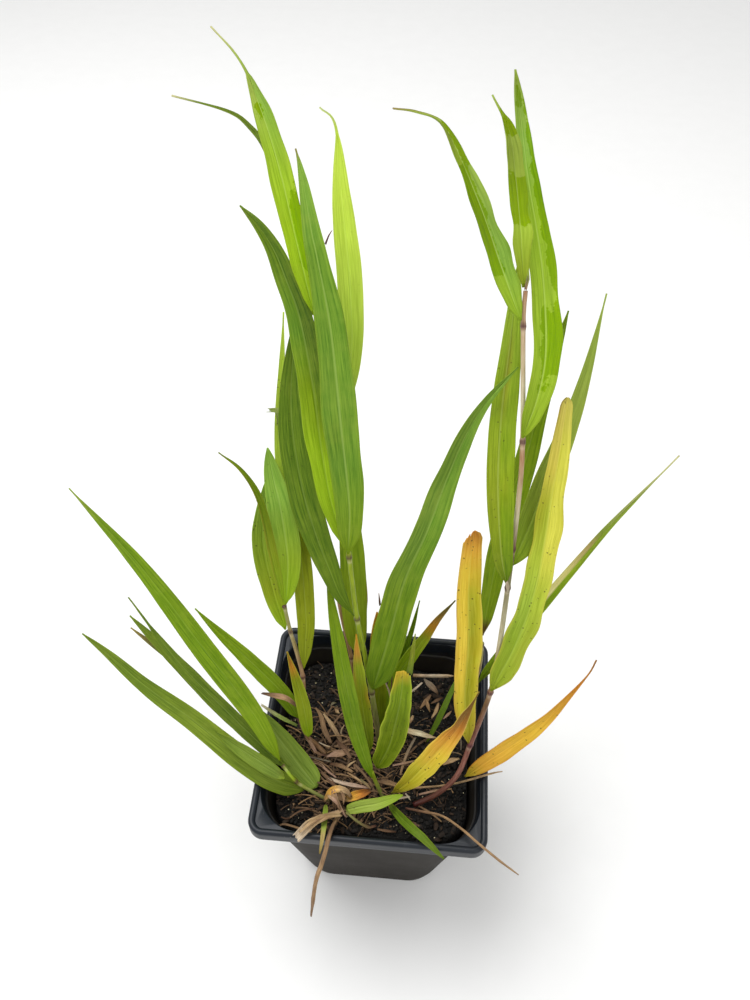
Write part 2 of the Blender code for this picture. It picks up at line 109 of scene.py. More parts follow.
def addStudio(settings):
    world = bpy.data.worlds.new("sky")
    world.use_nodes = True
    sky = world.node_tree.nodes["Background"]
    sky.inputs["Color"].default_value = (1, 1, 1, 1)
    sky.inputs["Strength"].default_value = settings["skyStrength"]
    bpy.context.scene.world = world
    for name, panel in settings["panels"].items():
        addPanel(name, settings["aim"], **panel)
    bm = bmesh.new()
    bmesh.ops.create_grid(bm, x_segments=4, y_segments=4, size=settings["floorSize"])
    floor = addPiece("floor", bm, floorPaint(settings), smooth=False, riding=False)
    floor.location.z = -settings["floorDrop"]


def addPiece(name, bm, material, smooth=True, riding=True, slot=None, replaced=(), recalc=False):
    if recalc:
        bmesh.ops.recalc_face_normals(bm, faces=bm.faces)
    mesh = bpy.data.meshes.new(name)
    bm.to_mesh(mesh)
    bm.free()
    if smooth:
        mesh.shade_smooth()
    mesh.materials.append(material)
    piece = bpy.data.objects.new(name, mesh)
    bpy.context.scene.collection.objects.link(piece)
    if riding:
        finishPiece(piece, replaced)
    return piece


def finishPiece(piece, replaced=()):
    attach(piece, "root")
    if replaced:
        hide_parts(*replaced)


class Tree:
    # a material's node tree, with short calls for the nodes that every finish here uses
    def __init__(self, name):
        self.material = bpy.data.materials.new(name)
        self.material.use_nodes = True
        self.tree = self.material.node_tree
        self.shader = self.tree.nodes["Principled BSDF"]
        self.output = self.tree.nodes["Material Output"]
        self.column = -200

    def add(self, kind, **settings):
        # each node stands a little left of and below the one before, so the tree can be read
        node = self.tree.nodes.new(kind)
        node.location = (self.column, -len(self.tree.nodes) * 40)
        self.column -= 60
        for setting, value in settings.items():
            setattr(node, setting, value)
        return node

    def join(self, source, target):
        self.tree.links.new(source, target)

    def feed(self, node, socket, value):
        # a value is set on the socket, an output is linked to it
        target = node.inputs[socket]
        if isinstance(value, bpy.types.NodeSocket):
            self.join(value, target)
        else:
            target.default_value = value

    def math(self, operation, first, second=0.5, third=None, clamp=False):
        node = self.add("ShaderNodeMath", operation=operation, use_clamp=clamp)
        self.feed(node, 0, first)
        self.feed(node, 1, second)
        if third is not None:
            self.feed(node, 2, third)
        return node.outputs[0]

    def blend(self, amount, first, second, kind="MIX"):
        node = self.add("ShaderNodeMix", data_type="RGBA", blend_type=kind)
        self.feed(node, 0, amount)
        self.feed(node, 6, first)
        self.feed(node, 7, second)
        return node.outputs[2]

    def spread(self, value, low, high, toLow=0.0, toHigh=1.0):
        node = self.add("ShaderNodeMapRange")
        for socket, part in enumerate((value, low, high, toLow, toHigh)):
            self.feed(node, socket, part)
        return node.outputs[0]

    def noise(self, vector, scale, detail=3, roughness=0.5):
        node = self.add("ShaderNodeTexNoise")
        self.feed(node, "Vector", vector)
        self.feed(node, "Scale", scale)
        self.feed(node, "Detail", detail)
        self.feed(node, "Roughness", roughness)
        return node.outputs[0]

    def place(self, scale=(1, 1, 1), uvName=None):
        # where a point lies on the object, or on one of its own maps
        if uvName:
            source = self.add("ShaderNodeUVMap", uv_map=uvName).outputs[0]
        else:
            source = self.add("ShaderNodeTexCoord").outputs["Object"]
        mapping = self.add("ShaderNodeMapping")
        self.feed(mapping, "Vector", source)
        mapping.inputs["Scale"].default_value = scale
        return mapping.outputs[0]

    def attribute(self, name):
        return self.add("ShaderNodeAttribute", attribute_name=name).outputs["Color"]

    def surface(self, colour, roughness, specular=None):
        self.feed(self.shader, "Base Color", colour)
        self.feed(self.shader, "Roughness", roughness)
        if specular is not None:
            self.feed(self.shader, "Specular IOR Level", specular)

    def bump(self, height, strength, distance):
        node = self.add("ShaderNodeBump")
        self.feed(node, "Height", height)
        node.inputs["Strength"].default_value = strength
        node.inputs["Distance"].default_value = distance
        self.join(node.outputs[0], self.shader.inputs["Normal"])


def floorPaint(settings):
    paint = Tree("palePaper")
    colour = settings["floorColour"]
    shaded = tuple(part * settings["floorShade"] for part in colour[:3]) + (1,)
    grain = paint.noise(paint.place(), settings["floorGrain"], 4)
    paint.surface(paint.blend(paint.spread(grain, *noiseRange), colour, shaded), settings["floorRoughness"])
    return paint.material


# The finishes. A scale counts noise cells to a metre, or on a piece's own map across the piece and to a
# centimetre along it. An edge gives the two values of a noise between which one colour turns into another,
# and a bump its strength and its depth in metres
bladeSurface = {
    "fineVeins": (46, 0.9, 1), "broadVeins": (10, 0.35, 1), "fineShare": 0.6,
    "veinEdge": (0.38, 0.62),
    "paleShare": 0.22,     # how far a pale vein leaves the leaf's own colour
    "blotchScale": 60, "smallBlotchScale": 260, "stainShare": 0.5, "stainEdge": (0.48, 0.62),
    "wetColour": srgb(214, 228, 44), "wetGloss": 0.32, "wetEdge": (1.57, 1.63),
    "wetReach": (0.02, 0.1),   # nothing is wet further from a wet patch
    "shoreScale": 170,     # how ragged the outline of a wet patch is
    "shoreDepth": 2.2, "ribColour": srgb(206, 222, 120), "ribShare": 0.4,
    "ribEdge": (0.01, 0.042),  # from the middle of the blade, as a share of its width
    "speckColour": srgb(58, 38, 20), "speckScale": 520, "speckOutline": 1900,
    "speckEdge": (0.35, 0.43), "speckPatches": 240, "speckPatchEdge": (0.48, 0.54),
    "roughness": 0.4, "unevenSheen": 0.2, "specular": 0.16, "bump": (0.5, 0.0005),
}
bladeFinishes = {
    "greenBlade": dict(veinDepth=0.85, glow=0.18, stained=0.25, paleVein=srgb(206, 220, 60),
                       darkVein=srgb(206, 210, 150), stain=srgb(176, 184, 70)),
    "yellowBlade": dict(veinDepth=0.6, glow=0.2, stained=0.3, paleVein=srgb(255, 244, 140),
                        darkVein=srgb(206, 196, 100), stain=srgb(206, 150, 50)),
}
culmSurface = {
    "stripes": (16, 2, 1), "stripeEdge": (0.35, 0.65), "darkShare": 0.6, "roughness": (0.34, 0.5),
    "specular": 0.25, "bump": (0.3, 0.0003),
}
strawSurface = {
    "fibres": (22, 2.5, 1), "fibreEdge": (0.35, 0.62), "stain": srgb(120, 92, 66),
    "stainShare": 0.7, "stainScale": 180, "stainEdge": (0.5, 0.72), "stained": 0.55,
    "roughness": 0.78, "bump": (0.6, 0.0004),
}
plasticSurface = {
    "dark": srgb(12, 18, 26), "pale": srgb(20, 28, 38), "cloudScale": 34, "cloudEdge": (0.35, 0.7),
    "dust": srgb(120, 118, 112), "dustScale": 900, "dustEdge": (0.7, 0.78), "dusty": 0.5,
    "scuff": srgb(62, 66, 70), "scuffScale": (160, 160, 12), "scuffEdge": (0.62, 0.72),
    "scuffed": 0.25,
    "floorBounceTone": srgb(44, 38, 29),   # painted reflection: the wall under the rim is painted browner, standing in for light thrown up from the floor, and is also duller
    "floorBounceShare": 0.75,
    "bodyTop": (0.076, 0.081),      # the heights between which it turns into the rim
    "bodyDullness": 0.22, "roughness": (0.36, 0.5),
    "specular": (0.4, 0.16),        # the rim's and the wall's
    "grainScale": 1500, "bump": (0.12, 0.0002),
}
soilSurface = {
    "dark": srgb(5, 5, 4), "brown": srgb(24, 20, 15), "lumpScale": 260, "lumpEdge": (0.35, 0.68),
    "grit": srgb(96, 88, 70), "gritScale": 1400, "gritEdge": (0.66, 0.74), "gritty": 0.7,
    "roughness": 0.92, "bump": (1, 0.003),
}
crumbSurface = {
    "lumpScale": 900, "lumpEdge": noiseRange, "darkShare": 0.6, "roughness": 0.9,
    "bump": (0.6, 0.0004),
}


def bladeFinish(name, veinDepth, glow, paleVein, darkVein, stain, stained):
    # the leaf's colours are in its tint attribute, with painted shade and painted light on some leaves; wear
    # holds specks, wet film and midrib
    look = bladeSurface
    leaf = Tree(name)
    tint = leaf.attribute("tint")
    wear = leaf.add("ShaderNodeSeparateColor")
    leaf.join(leaf.attribute("wear"), wear.inputs[0])
    specks, wet, midrib = wear.outputs
    fineVeins = leaf.noise(leaf.place(look["fineVeins"], "blade"), 1.0, 2)
    broadVeins = leaf.noise(leaf.place(look["broadVeins"], "blade"), 1.0, 2)
    fineShare = look["fineShare"]
    veins = leaf.math("MULTIPLY_ADD", fineVeins, fineShare, leaf.math("MULTIPLY", broadVeins, 1 - fineShare))
    dark = leaf.blend(1, tint, darkVein, "MULTIPLY")
    light = leaf.blend(look["paleShare"], tint, paleVein)
    streaked = leaf.blend(leaf.spread(veins, *look["veinEdge"]), dark, light)
    veined = leaf.blend(veinDepth, tint, streaked)
    blotch = leaf.noise(leaf.place(), look["blotchScale"])
    smallBlotch = leaf.noise(leaf.place(), look["smallBlotchScale"], 4, 0.6)
    clouded = leaf.math("MULTIPLY_ADD", smallBlotch, 0.5, leaf.math("MULTIPLY", blotch, 0.5))
    mottled = leaf.blend(leaf.spread(clouded, *look["stainEdge"], 0, stained), veined,
                         leaf.blend(look["stainShare"], tint, stain))
    ragged = leaf.noise(leaf.place(), look["shoreScale"], 4, 0.62)
    shore = leaf.math("MULTIPLY_ADD", ragged, look["shoreDepth"], wet)
    film = leaf.math("MULTIPLY", leaf.spread(shore, *look["wetEdge"]), leaf.spread(wet, *look["wetReach"]))
    wetted = leaf.blend(film, mottled, leaf.blend(1, mottled, look["wetColour"], "MULTIPLY"))
    split = leaf.add("ShaderNodeSeparateXYZ")
    leaf.join(leaf.place(uvName="blade"), split.inputs[0])
    offCentre = leaf.math("ABSOLUTE", leaf.math("SUBTRACT", split.outputs[0], 0.5))
    rib = leaf.math("MULTIPLY", leaf.spread(offCentre, *look["ribEdge"], 1, 0), midrib, clamp=True)
    ribbed = leaf.blend(rib, wetted, leaf.blend(look["ribShare"], tint, look["ribColour"]))
    cells = leaf.add("ShaderNodeTexVoronoi")
    leaf.feed(cells, "Vector", leaf.place())
    leaf.feed(cells, "Scale", look["speckScale"])
    patch = leaf.noise(leaf.place(), look["speckPatches"], 2)
    rough = leaf.math("MULTIPLY_ADD", leaf.noise(leaf.place(), look["speckOutline"]), 0.5,
                      cells.outputs["Distance"])
    dots = leaf.math("MULTIPLY", leaf.spread(rough, *look["speckEdge"], 1, 0),
                     leaf.spread(patch, *look["speckPatchEdge"]))
    speckled = leaf.blend(leaf.math("MULTIPLY", dots, specks, clamp=True), ribbed, look["speckColour"])
    sheen = leaf.math("MULTIPLY_ADD", blotch, look["unevenSheen"], look["roughness"])
    roughness = leaf.math("MULTIPLY_ADD", film, -look["wetGloss"], sheen, clamp=True)
    leaf.surface(speckled, roughness, look["specular"])
    leaf.bump(veins, *look["bump"])
    translucent = leaf.add("ShaderNodeBsdfTranslucent")
    leaf.join(speckled, translucent.inputs["Color"])
    mix = leaf.add("ShaderNodeMixShader")
    mix.inputs[0].default_value = glow
    leaf.join(leaf.shader.outputs[0], mix.inputs[1])
    leaf.join(translucent.outputs[0], mix.inputs[2])
    leaf.join(mix.outputs[0], leaf.output.inputs["Surface"])
    return leaf.material


def culmFinish():
    look = culmSurface
    culm = Tree("culmSkin")
    tint = culm.attribute("tint")
    stripes = culm.noise(culm.place(look["stripes"], "skin"), 1.0)
    dark = culm.blend(look["darkShare"], tint, tint, "MULTIPLY")
    streaked = culm.blend(culm.spread(stripes, *look["stripeEdge"]), dark, tint)
    culm.surface(streaked, culm.spread(stripes, *noiseRange, *look["roughness"]), look["specular"])
    culm.bump(stripes, *look["bump"])
    return culm.material


def strawFinish():
    look = strawSurface
    straw = Tree("dryStraw")
    tint = straw.attribute("tint")
    fibres = straw.noise(straw.place(look["fibres"], "skin"), 1.0, 4, 0.6)
    stains = straw.noise(straw.place(), look["stainScale"], 4)
    dark = straw.blend(look["stainShare"], tint, look["stain"], "MULTIPLY")
    streaked = straw.blend(straw.spread(fibres, *look["fibreEdge"]), dark, tint)
    stained = straw.blend(straw.spread(stains, *look["stainEdge"], 0, look["stained"]), streaked, dark)
    straw.surface(stained, look["roughness"])
    straw.bump(fibres, *look["bump"])
    return straw.material


def plasticFinish():
    look = plasticSurface
    plastic = Tree("potPlastic")
    cloudy = plastic.noise(plastic.place(), look["cloudScale"], 5, 0.6)
    dust = plastic.noise(plastic.place(), look["dustScale"], 2)
    scuff = plastic.noise(plastic.place(look["scuffScale"]), 1.0)
    base = plastic.blend(plastic.spread(cloudy, *look["cloudEdge"]), look["dark"], look["pale"])
    dusty = plastic.blend(plastic.spread(dust, *look["dustEdge"], 0, look["dusty"]), base, look["dust"])
    scuffed = plastic.blend(plastic.spread(scuff, *look["scuffEdge"], 0, look["scuffed"]), dusty, look["scuff"])
    height = plastic.add("ShaderNodeSeparateXYZ")
    plastic.join(plastic.place(), height.inputs[0])
    body = plastic.spread(height.outputs[2], *look["bodyTop"], 1, 0)
    # painted reflection: the wall under the rim is tinted brown as if lit from the floor below
    floorBounceTinted = plastic.blend(body, scuffed, plastic.blend(look["floorBounceShare"], scuffed, look["floorBounceTone"]))
    dull = plastic.math("MULTIPLY_ADD", body, look["bodyDullness"],
                        plastic.spread(cloudy, *noiseRange, *look["roughness"]))
    plastic.surface(floorBounceTinted, dull, plastic.spread(body, 0, 1, *look["specular"]))
    plastic.bump(plastic.noise(plastic.place(), look["grainScale"], 2), *look["bump"])
    return plastic.material


def soilFinish():
    look = soilSurface
    soil = Tree("pottingSoil")
    lumps = soil.noise(soil.place(), look["lumpScale"], 6, 0.65)
    grains = soil.noise(soil.place(), look["gritScale"])
    base = soil.blend(soil.spread(lumps, *look["lumpEdge"]), look["dark"], look["brown"])
    gritty = soil.blend(soil.spread(grains, *look["gritEdge"], 0, look["gritty"]), base, look["grit"])
    soil.surface(gritty, look["roughness"])
    soil.bump(soil.math("MULTIPLY_ADD", grains, 0.5, lumps), *look["bump"])
    return soil.material


def crumbFinish(name):
    look = crumbSurface
    crumb = Tree(name)
    tint = crumb.attribute("tint")
    lumps = crumb.noise(crumb.place(), look["lumpScale"], 4, 0.6)
    shade = crumb.blend(crumb.spread(lumps, *look["lumpEdge"]),
                        crumb.blend(look["darkShare"], tint, tint, "MULTIPLY"), tint)
    crumb.surface(shade, look["roughness"])
    crumb.bump(lumps, *look["bump"])
    return crumb.material


bpy.context.scene.view_settings.view_transform = "Standard"   # colours as they are mixed, with no film look
addCamera(cameraView)
addStudio(studio)
greenBlade, yellowBlade = (bladeFinish(name, **look) for name, look in bladeFinishes.items())
culmSkin = culmFinish()
dryStraw = strawFinish()
potPlastic = plasticFinish()
pottingSoil = soilFinish()
soilCrumb = crumbFinish("soilCrumb")
strawBit = crumbFinish("strawBit")
print("camera, light and finishes made")


# a square nursery pot, in mm
potForm = {
    "rimWidth": 90,
    "height": 87,
    "rimCorner": 6,
    "lipWidth": 2.6,
    "lipRise": 1.6,
    "lipRings": 12,
    "ledgeRound": 0.25,
    "wall": 1.2,
    "wallRings": 16,
    "openingCorner": 16,
    "footWidth": 63,
    "footCorner": 15,
    "footChamfer": 1.6,
    "footRings": 6,
    "floorThickness": 1.6,
    "skirtDrop": 6,
    "skirtRound": 0.3,
    "stepDepth": 9,
    "stepInset": 0.7,
    "innerRings": 8,
    "ribHeight": 0.16,     # faint upright ribs of the body
    "ribPitch": 5.2,
    "ribSharpness": 6,
    "ribFade": (8, 12),    # over this height they fade in from the foot and out to the ledge
    "ribEnd": 14,          # how far from the corner they end
    "drainRadius": 3,
    "drainOffset": 19,
    "drainPoints": 48,
    "sharpAngle": 40,
    "sidePoints": 56,
    "cornerPoints": 14,
}


def squareRing(half, corner, height, sidePoints, cornerPoints):
    # points of a square with round corners, counter-clockwise, in mm
    ring = []
    for quarter in range(4):
        turn = Quaternion((0, 0, 1), quarter * math.pi / 2)
        straight = half - corner
        for step in range(sidePoints):
            ring.append(turn @ Vector((half, straight * (2 * step / sidePoints - 1), height)))
        for step in range(cornerPoints):
            angle = step * math.pi / 2 / cornerPoints
            spot = Vector((straight + corner * math.cos(angle), straight + corner * math.sin(angle), height))
            ring.append(turn @ spot)
    return ring


def ringBody(rings):
    # a closed body through the rings, its first and last one filled
    bm = bmesh.new()
    loops = [[bm.verts.new(spot * mm) for spot in ring] for ring in rings]
    for lower, upper in zip(loops, loops[1:]):
        for i in range(len(lower)):
            j = (i + 1) % len(lower)
            bm.faces.new((lower[i], lower[j], upper[j], upper[i]))
    bm.faces.new(reversed(loops[0]))
    bm.faces.new(loops[-1])
    return bm


def potOuterHalf(height):
    pot = potForm
    foot = pot["footWidth"] / 2
    top = pot["rimWidth"] / 2 - pot["lipWidth"] + pot["wall"]
    return foot + (top - foot) * height / pot["height"]


def potCorner(height):
    pot = potForm
    body = pot["openingCorner"] + pot["wall"]
    return pot["footCorner"] + (body - pot["footCorner"]) * height / pot["height"]


def potProfile():
    # half width, corner radius and height of each ring, from the foot up, over the lip and down inside
    pot = potForm
    rim, top, wall = pot["rimWidth"] / 2, pot["height"], pot["wall"]
    corner, chamfer = pot["rimCorner"], pot["footChamfer"]
    ledge = top - pot["lipRise"]
    lipRadius = pot["lipWidth"] / 2
    step = top - pot["stepDepth"]
    profile = []
    for part in range(pot["footRings"]):
        angle = part * math.pi / 2 / (pot["footRings"] - 1)
        inset = chamfer * (1 - math.sin(angle))
        height = chamfer * (1 - math.cos(angle))
        profile.append((pot["footWidth"] / 2 - inset, pot["footCorner"] - inset, height))
    for part in range(1, pot["wallRings"] + 1):
        height = chamfer + (ledge - wall - chamfer) * part / pot["wallRings"]
        profile.append((potOuterHalf(height), potCorner(height), height))
    # under the ledge and down the inside of the skirt
    skirt, turn = rim - wall, pot["skirtRound"]
    bottom = top - pot["skirtDrop"]
    profile.append((skirt - turn, corner - wall, ledge - wall))
    profile.append((skirt, corner - wall, ledge - wall - turn))
    profile.append((skirt, corner - wall, bottom + turn))
    # round its lower edge, up its outside and over the lip
    for part in range(7):
        angle = math.pi * part / 6
        middle = rim - wall / 2
        half = middle - math.cos(angle) * wall / 2
        profile.append((half, corner - (rim - half), bottom + turn - turn * math.sin(angle)))
    for part in range(1, 4):
        profile.append((rim, corner, bottom + turn + (top - lipRadius - bottom - turn) * part / 4))
    for part in range(pot["lipRings"] + 1):
        angle = math.pi * part / pot["lipRings"]
        half = rim - lipRadius + lipRadius * math.cos(angle)
        profile.append((half, corner - (rim - half), top - lipRadius + lipRadius * math.sin(angle)))
    # down onto the flat ledge and over its rounded edge into the opening
    inner, opening, turn = rim - pot["lipWidth"], pot["openingCorner"], pot["ledgeRound"]
    profile.append((inner - 0.05, corner - pot["lipWidth"] + 0.2, ledge + 0.02))
    profile.append((inner - 0.15, opening - 0.6, ledge))
    profile.append((inner - 0.2, opening, ledge - turn))
    for part in range(1, 6):
        height = ledge - turn + (step - ledge + turn) * part / 5
        profile.append((potOuterHalf(height) - wall, potCorner(height) - wall, height))
    # the faint line inside the wall, and down to the floor
    inset = wall + pot["stepInset"]
    profile.append((potOuterHalf(step) - inset + 0.1, potCorner(step) - inset + 0.1, step - 0.35))
    for part in range(1, pot["innerRings"] + 1):
        below = step - pot["stepInset"]
        height = below - (below - pot["floorThickness"]) * part / pot["innerRings"]
        profile.append((potOuterHalf(height) - inset, potCorner(height) - inset, height))
    return profile


def addRibs(rings):
    # the faint upright ribs of the body, pushed outwards on each of its four sides
    pot = potForm
    ledge = pot["height"] - pot["lipRise"] - pot["wall"]
    footFade, ledgeFade = pot["ribFade"]
    for ring in rings:
        for spot in ring:
            frontSide = abs(spot.y) > abs(spot.x)
            along = spot.x if frontSide else spot.y
            fade = min(1, (ledge - spot.z) / ledgeFade) * min(1, spot.z / footFade)
            flat = max(0, 1 - (abs(along) / (potOuterHalf(spot.z) - pot["ribEnd"])) ** 4)
            wave = max(0, math.cos(2 * math.pi * along / pot["ribPitch"])) ** pot["ribSharpness"]
            rise = pot["ribHeight"] * wave * fade * flat
            if frontSide:
                spot += Vector((0, math.copysign(1, spot.y), 0)) * rise
            else:
                spot += Vector((math.copysign(1, spot.x), 0, 0)) * rise


def buildPot():
    pot = potForm
    rings = [squareRing(*ring, pot["sidePoints"], pot["cornerPoints"]) for ring in potProfile()]
    addRibs(rings[pot["footRings"]:pot["footRings"] + pot["wallRings"]])
    piece = addPiece("nurseryPot", ringBody(rings), potPlastic, riding=False, recalc=True)
    radius, offset = pot["drainRadius"] * mm, pot["drainOffset"] * mm
    for sideX in (1, -1):
        for sideY in (1, -1):
            bm = bmesh.new()
            bmesh.ops.create_cone(bm, cap_ends=True, segments=pot["drainPoints"], radius1=radius,
                                  radius2=radius, depth=pot["floorThickness"] * 4 * mm)
            bmesh.ops.translate(bm, verts=bm.verts, vec=(sideX * offset, sideY * offset, 0))
            cutter = addPiece("drainCutter", bm, potPlastic, riding=False)
            hole = piece.modifiers.new("drain", "BOOLEAN")
            hole.operation = "DIFFERENCE"
            hole.object = cutter
            shape = bpy.data.meshes.new_from_object(piece.evaluated_get(bpy.context.evaluated_depsgraph_get()))
            piece.modifiers.remove(hole)
            piece.data = shape
            bpy.data.objects.remove(cutter)
    piece.data.set_sharp_from_angle(angle=math.radians(pot["sharpAngle"]))
    finishPiece(piece, ("pot",))


buildPot()
print("pot made")


soilForm = {
    "level": 74,
    "sink": 0.8,           # the open surface lies this far under its level
    "gap": 0.35,
    "lumpHeight": 2.2,
    "lumpSize": 8,
    "grainHeight": 1.1,
    "grainSize": 2.4,
    "backDrop": 4,         # the soil has sunk along the back wall
    "backFrom": 12,
    "backReach": 20,
    "moundHeight": 1.2,    # the soil stands a little higher round the culms
    "moundSpread": 500,
    "sideDrop": 8,         # its flat sides end this far under its level
    "sideRings": 6,
    "rings": 52,
    "sidePoints": 52,
    "cornerPoints": 10,
}


def soilHeight(x, y):
    soil = soilForm
    lump = noise.noise(Vector((x, y, 3)) / soil["lumpSize"]) * soil["lumpHeight"]
    grain = noise.noise(Vector((x, y, 9)) / soil["grainSize"]) * soil["grainHeight"]
    mound = soil["moundHeight"] * math.exp(-(x * x + y * y) / soil["moundSpread"])
    sunk = soil["backDrop"] * min(max((y - soil["backFrom"]) / soil["backReach"], 0), 1)
    return soil["level"] - soil["sink"] + lump + grain + mound - sunk


def buildSoil():
    soil = soilForm
    inset = potForm["wall"] + potForm["stepInset"] + soil["gap"]
    floor, sides = potForm["floorThickness"], soil["sideRings"]
    rings = []
    for part in range(sides + 1):
        height = floor + soil["gap"] + (soil["level"] - soil["sideDrop"] - floor) * part / sides
        rings.append(squareRing(potOuterHalf(height) - inset, potCorner(height) - inset, height,
                                soil["sidePoints"], soil["cornerPoints"]))
    outline = rings[-1]
    for part in range(1, soil["rings"] + 1):
        scale = 1 - part / (soil["rings"] + 0.5)
        spots = [(spot.x * scale, spot.y * scale) for spot in outline]
        rings.append([Vector((x, y, soilHeight(x, y))) for x, y in spots])
    addPiece("soilBed", ringBody(rings), pottingSoil, slot="potting_soil", replaced=("soil",), recalc=True)


buildSoil()
print("soil made")


def smoothRoute(points, count):
    # evenly spread points on a smooth curve through the given ones, in metres, and the curve's length
    fineSteps = 16
    points = [Vector(point) * mm for point in points]
    ends = [points[0] * 2 - points[1]] + points + [points[-1] * 2 - points[-2]]
    fine = []
    for i in range(1, len(ends) - 2):
        a, b, c, d = ends[i - 1:i + 3]
        for step in range(fineSteps):
            t = step / fineSteps
            fine.append(0.5 * (2 * b + (c - a) * t + (2 * a - 5 * b + 4 * c - d) * t * t
                               + (3 * b - a - 3 * c + d) * t ** 3))
    fine.append(points[-1])
    lengths = [0]
    for before, after in zip(fine, fine[1:]):
        lengths.append(lengths[-1] + (after - before).length)
    route = []
    j = 0
    for i in range(count):
        target = lengths[-1] * i / (count - 1)
        while j < len(fine) - 2 and lengths[j + 1] < target:
            j += 1
        span = max(lengths[j + 1] - lengths[j], 1e-9)
        route.append(fine[j].lerp(fine[j + 1], min((target - lengths[j]) / span, 1)))
    return route, lengths[-1]


def evenRoute(route, pitch, fewest, more=0):
    # points about one pitch apart along the route, and its length
    _, length = smoothRoute(route, 2)
    return smoothRoute(route, max(fewest, round(length / (pitch * mm))) + more)


def routeDirections(route):
    last = len(route) - 1
    return [(route[min(i + 1, last)] - route[max(i - 1, 0)]).normalized() for i in range(last + 1)]


# the colours of leaves, culms, straws and crumbs, as a paint program gives them
palette = {name: srgb(*levels) for name, levels in {
    "fern": (104, 154, 50), "fernLight": (138, 186, 78), "fernDeep": (88, 126, 30),
    "mossDeep": (84, 120, 8), "moss": (104, 144, 10), "meadow": (122, 158, 10), "spring": (158, 200, 24),
    "springSoft": (166, 204, 56), "sageDry": (176, 200, 98), "limePale": (214, 242, 92),
    "limeTip": (236, 248, 134), "oliveYellow": (158, 178, 36), "oliveDeep": (112, 142, 4),
    "oliveDark": (84, 116, 8), "lemonGreen": (206, 224, 76), "lemon": (250, 230, 104),
    "mustard": (182, 176, 26), "goldYellow": (236, 206, 56), "gold": (250, 192, 68),
    "amber": (214, 136, 46), "rust": (150, 94, 40), "brown": (92, 60, 34), "sage": (92, 124, 40),
    "sageLight": (116, 142, 46), "husk": (236, 226, 190), "tan": (176, 142, 100), "straw": (212, 182, 136),
    "bleached": (222, 206, 180), "brownStraw": (134, 104, 74), "pinkStraw": (190, 154, 132),
    "greyStraw": (146, 134, 114), "oliveStraw": (128, 124, 78), "purple": (92, 50, 60),
    "reddish": (112, 70, 54), "pinkTan": (184, 146, 112), "culmGreen": (152, 158, 86),
    "culmPale": (206, 198, 166), "apricot": (226, 158, 74), "mustardDeep": (156, 148, 6),
    "mustardLight": (202, 198, 34), "oliveGold": (142, 154, 4), "oliveLeaf": (154, 172, 32),
    "springOlive": (152, 184, 42), "springPale": (184, 214, 78), "sageLeaf": (146, 168, 72),
    "sagePale": (212, 222, 172), "darkRed": (84, 34, 30), "leafGold": (132, 166, 14), "soilDark": (8, 8, 6),
    "soilBrown": (34, 28, 20), "barkBrown": (70, 52, 36), "mulch": (78, 58, 40),
    # the last fern green below is painted shade, the green of a leaf half lying in shadow
    "mulchLight": (150, 120, 88), "oliveLow": (104, 132, 0), "fernDark": (62, 104, 30),
    "yellowPale": (255, 236, 132), "yellowWarm": (255, 214, 70), "orangeWarm": (240, 152, 44),
    "sunYellow": (255, 228, 74), "fernMid": (110, 150, 58), "sageBlue": (126, 154, 68),
    "citron": (252, 246, 104), "mustardBright": (208, 202, 14), "lemonMustard": (234, 224, 46),
    "springBright": (186, 226, 40), "peachPale": (255, 240, 176), "rosyBrown": (150, 102, 88),
}.items()}


def tone(name):
    return Vector(palette[name][:3])


def mixStops(stops, along):
    # the colour at a place between given stops
    places = list(stops)
    if along <= places[0]:
        return tone(stops[places[0]])
    for before, after in zip(places, places[1:]):
        if along <= after:
            part = (along - before) / max(after - before, 1e-6)
            return tone(stops[before]).lerp(tone(stops[after]), part)
    return tone(stops[places[-1]])


def tintedMesh():
    bm = bmesh.new()
    bm.verts.layers.float_color.new("tint")
    bm.verts.layers.float_color.new("wear")
    bm.loops.layers.uv.new("skin")
    return bm


def addFace(bm, corners, layer, left, right, low, high):
    # a face with four corners, and its rectangle on the piece's own map
    face = bm.faces.new(corners)
    for loop, place in zip(face.loops, ((left, low), (right, low), (right, high), (left, high))):
        loop[layer].uv = place


def buildTube(name, points, radii, colours, around, flat=1, **finish):
    # a closed round tube through the points, with a tint and a skin map
    bm = tintedMesh()
    tint = bm.verts.layers.float_color["tint"]
    skin = bm.loops.layers.uv["skin"]
    forwards = routeDirections(points)
    side = forwards[0].orthogonal().normalized()
    rings, travelled = [], [0]
    for i, (spot, forward) in enumerate(zip(points, forwards)):
        side = (side - forward * side.dot(forward)).normalized()
        up = forward.cross(side)
        if i:
            travelled.append(travelled[-1] + (spot - points[i - 1]).length)
        ring = []
        for step in range(around):
            angle = 2 * math.pi * step / around
            vert = bm.verts.new(spot + (side * math.cos(angle) + up * math.sin(angle) * flat) * radii[i])
            vert[tint] = (*colours[i], 1)
            ring.append(vert)
        rings.append(ring)
    for i, (here, ahead) in enumerate(zip(rings, rings[1:])):
        for step in range(around):
            after = (step + 1) % around
            addFace(bm, (here[step], here[after], ahead[after], ahead[step]), skin, step / around,
                    (step + 1) / around, travelled[i] * mapScale, travelled[i + 1] * mapScale)
    bm.faces.new(reversed(rings[0]))
    bm.faces.new(rings[-1])
    addPiece(name, bm, recalc=True, **finish)


# sheaths, husks and straws: closed thin strips, rolled across their width, in mm
stripForm = {
    "columns": 8,
    "step": 0.9,           # distance of the rows along a strip
    "fewestRows": 4,
    "thickness": 0.22,
    "thinnest": 0.3,       # the inner side keeps at least this share of the outer radius
    "curl": 95,            # how far a strip rolls up across its width, in degrees
    "torn": 1.1,           # how far its ends are frayed
    "tornPart": 7,         # each frayed end is one part in this many
    "uneven": 0.16,
    "unevenStep": 0.4,
    "ragged": 1.5,
    "raggedStep": 0.8,
    "grain": 0.3,          # how much its colour varies
    "grainSteps": (0.7, 0.13),
    "sink": 0.2,
}


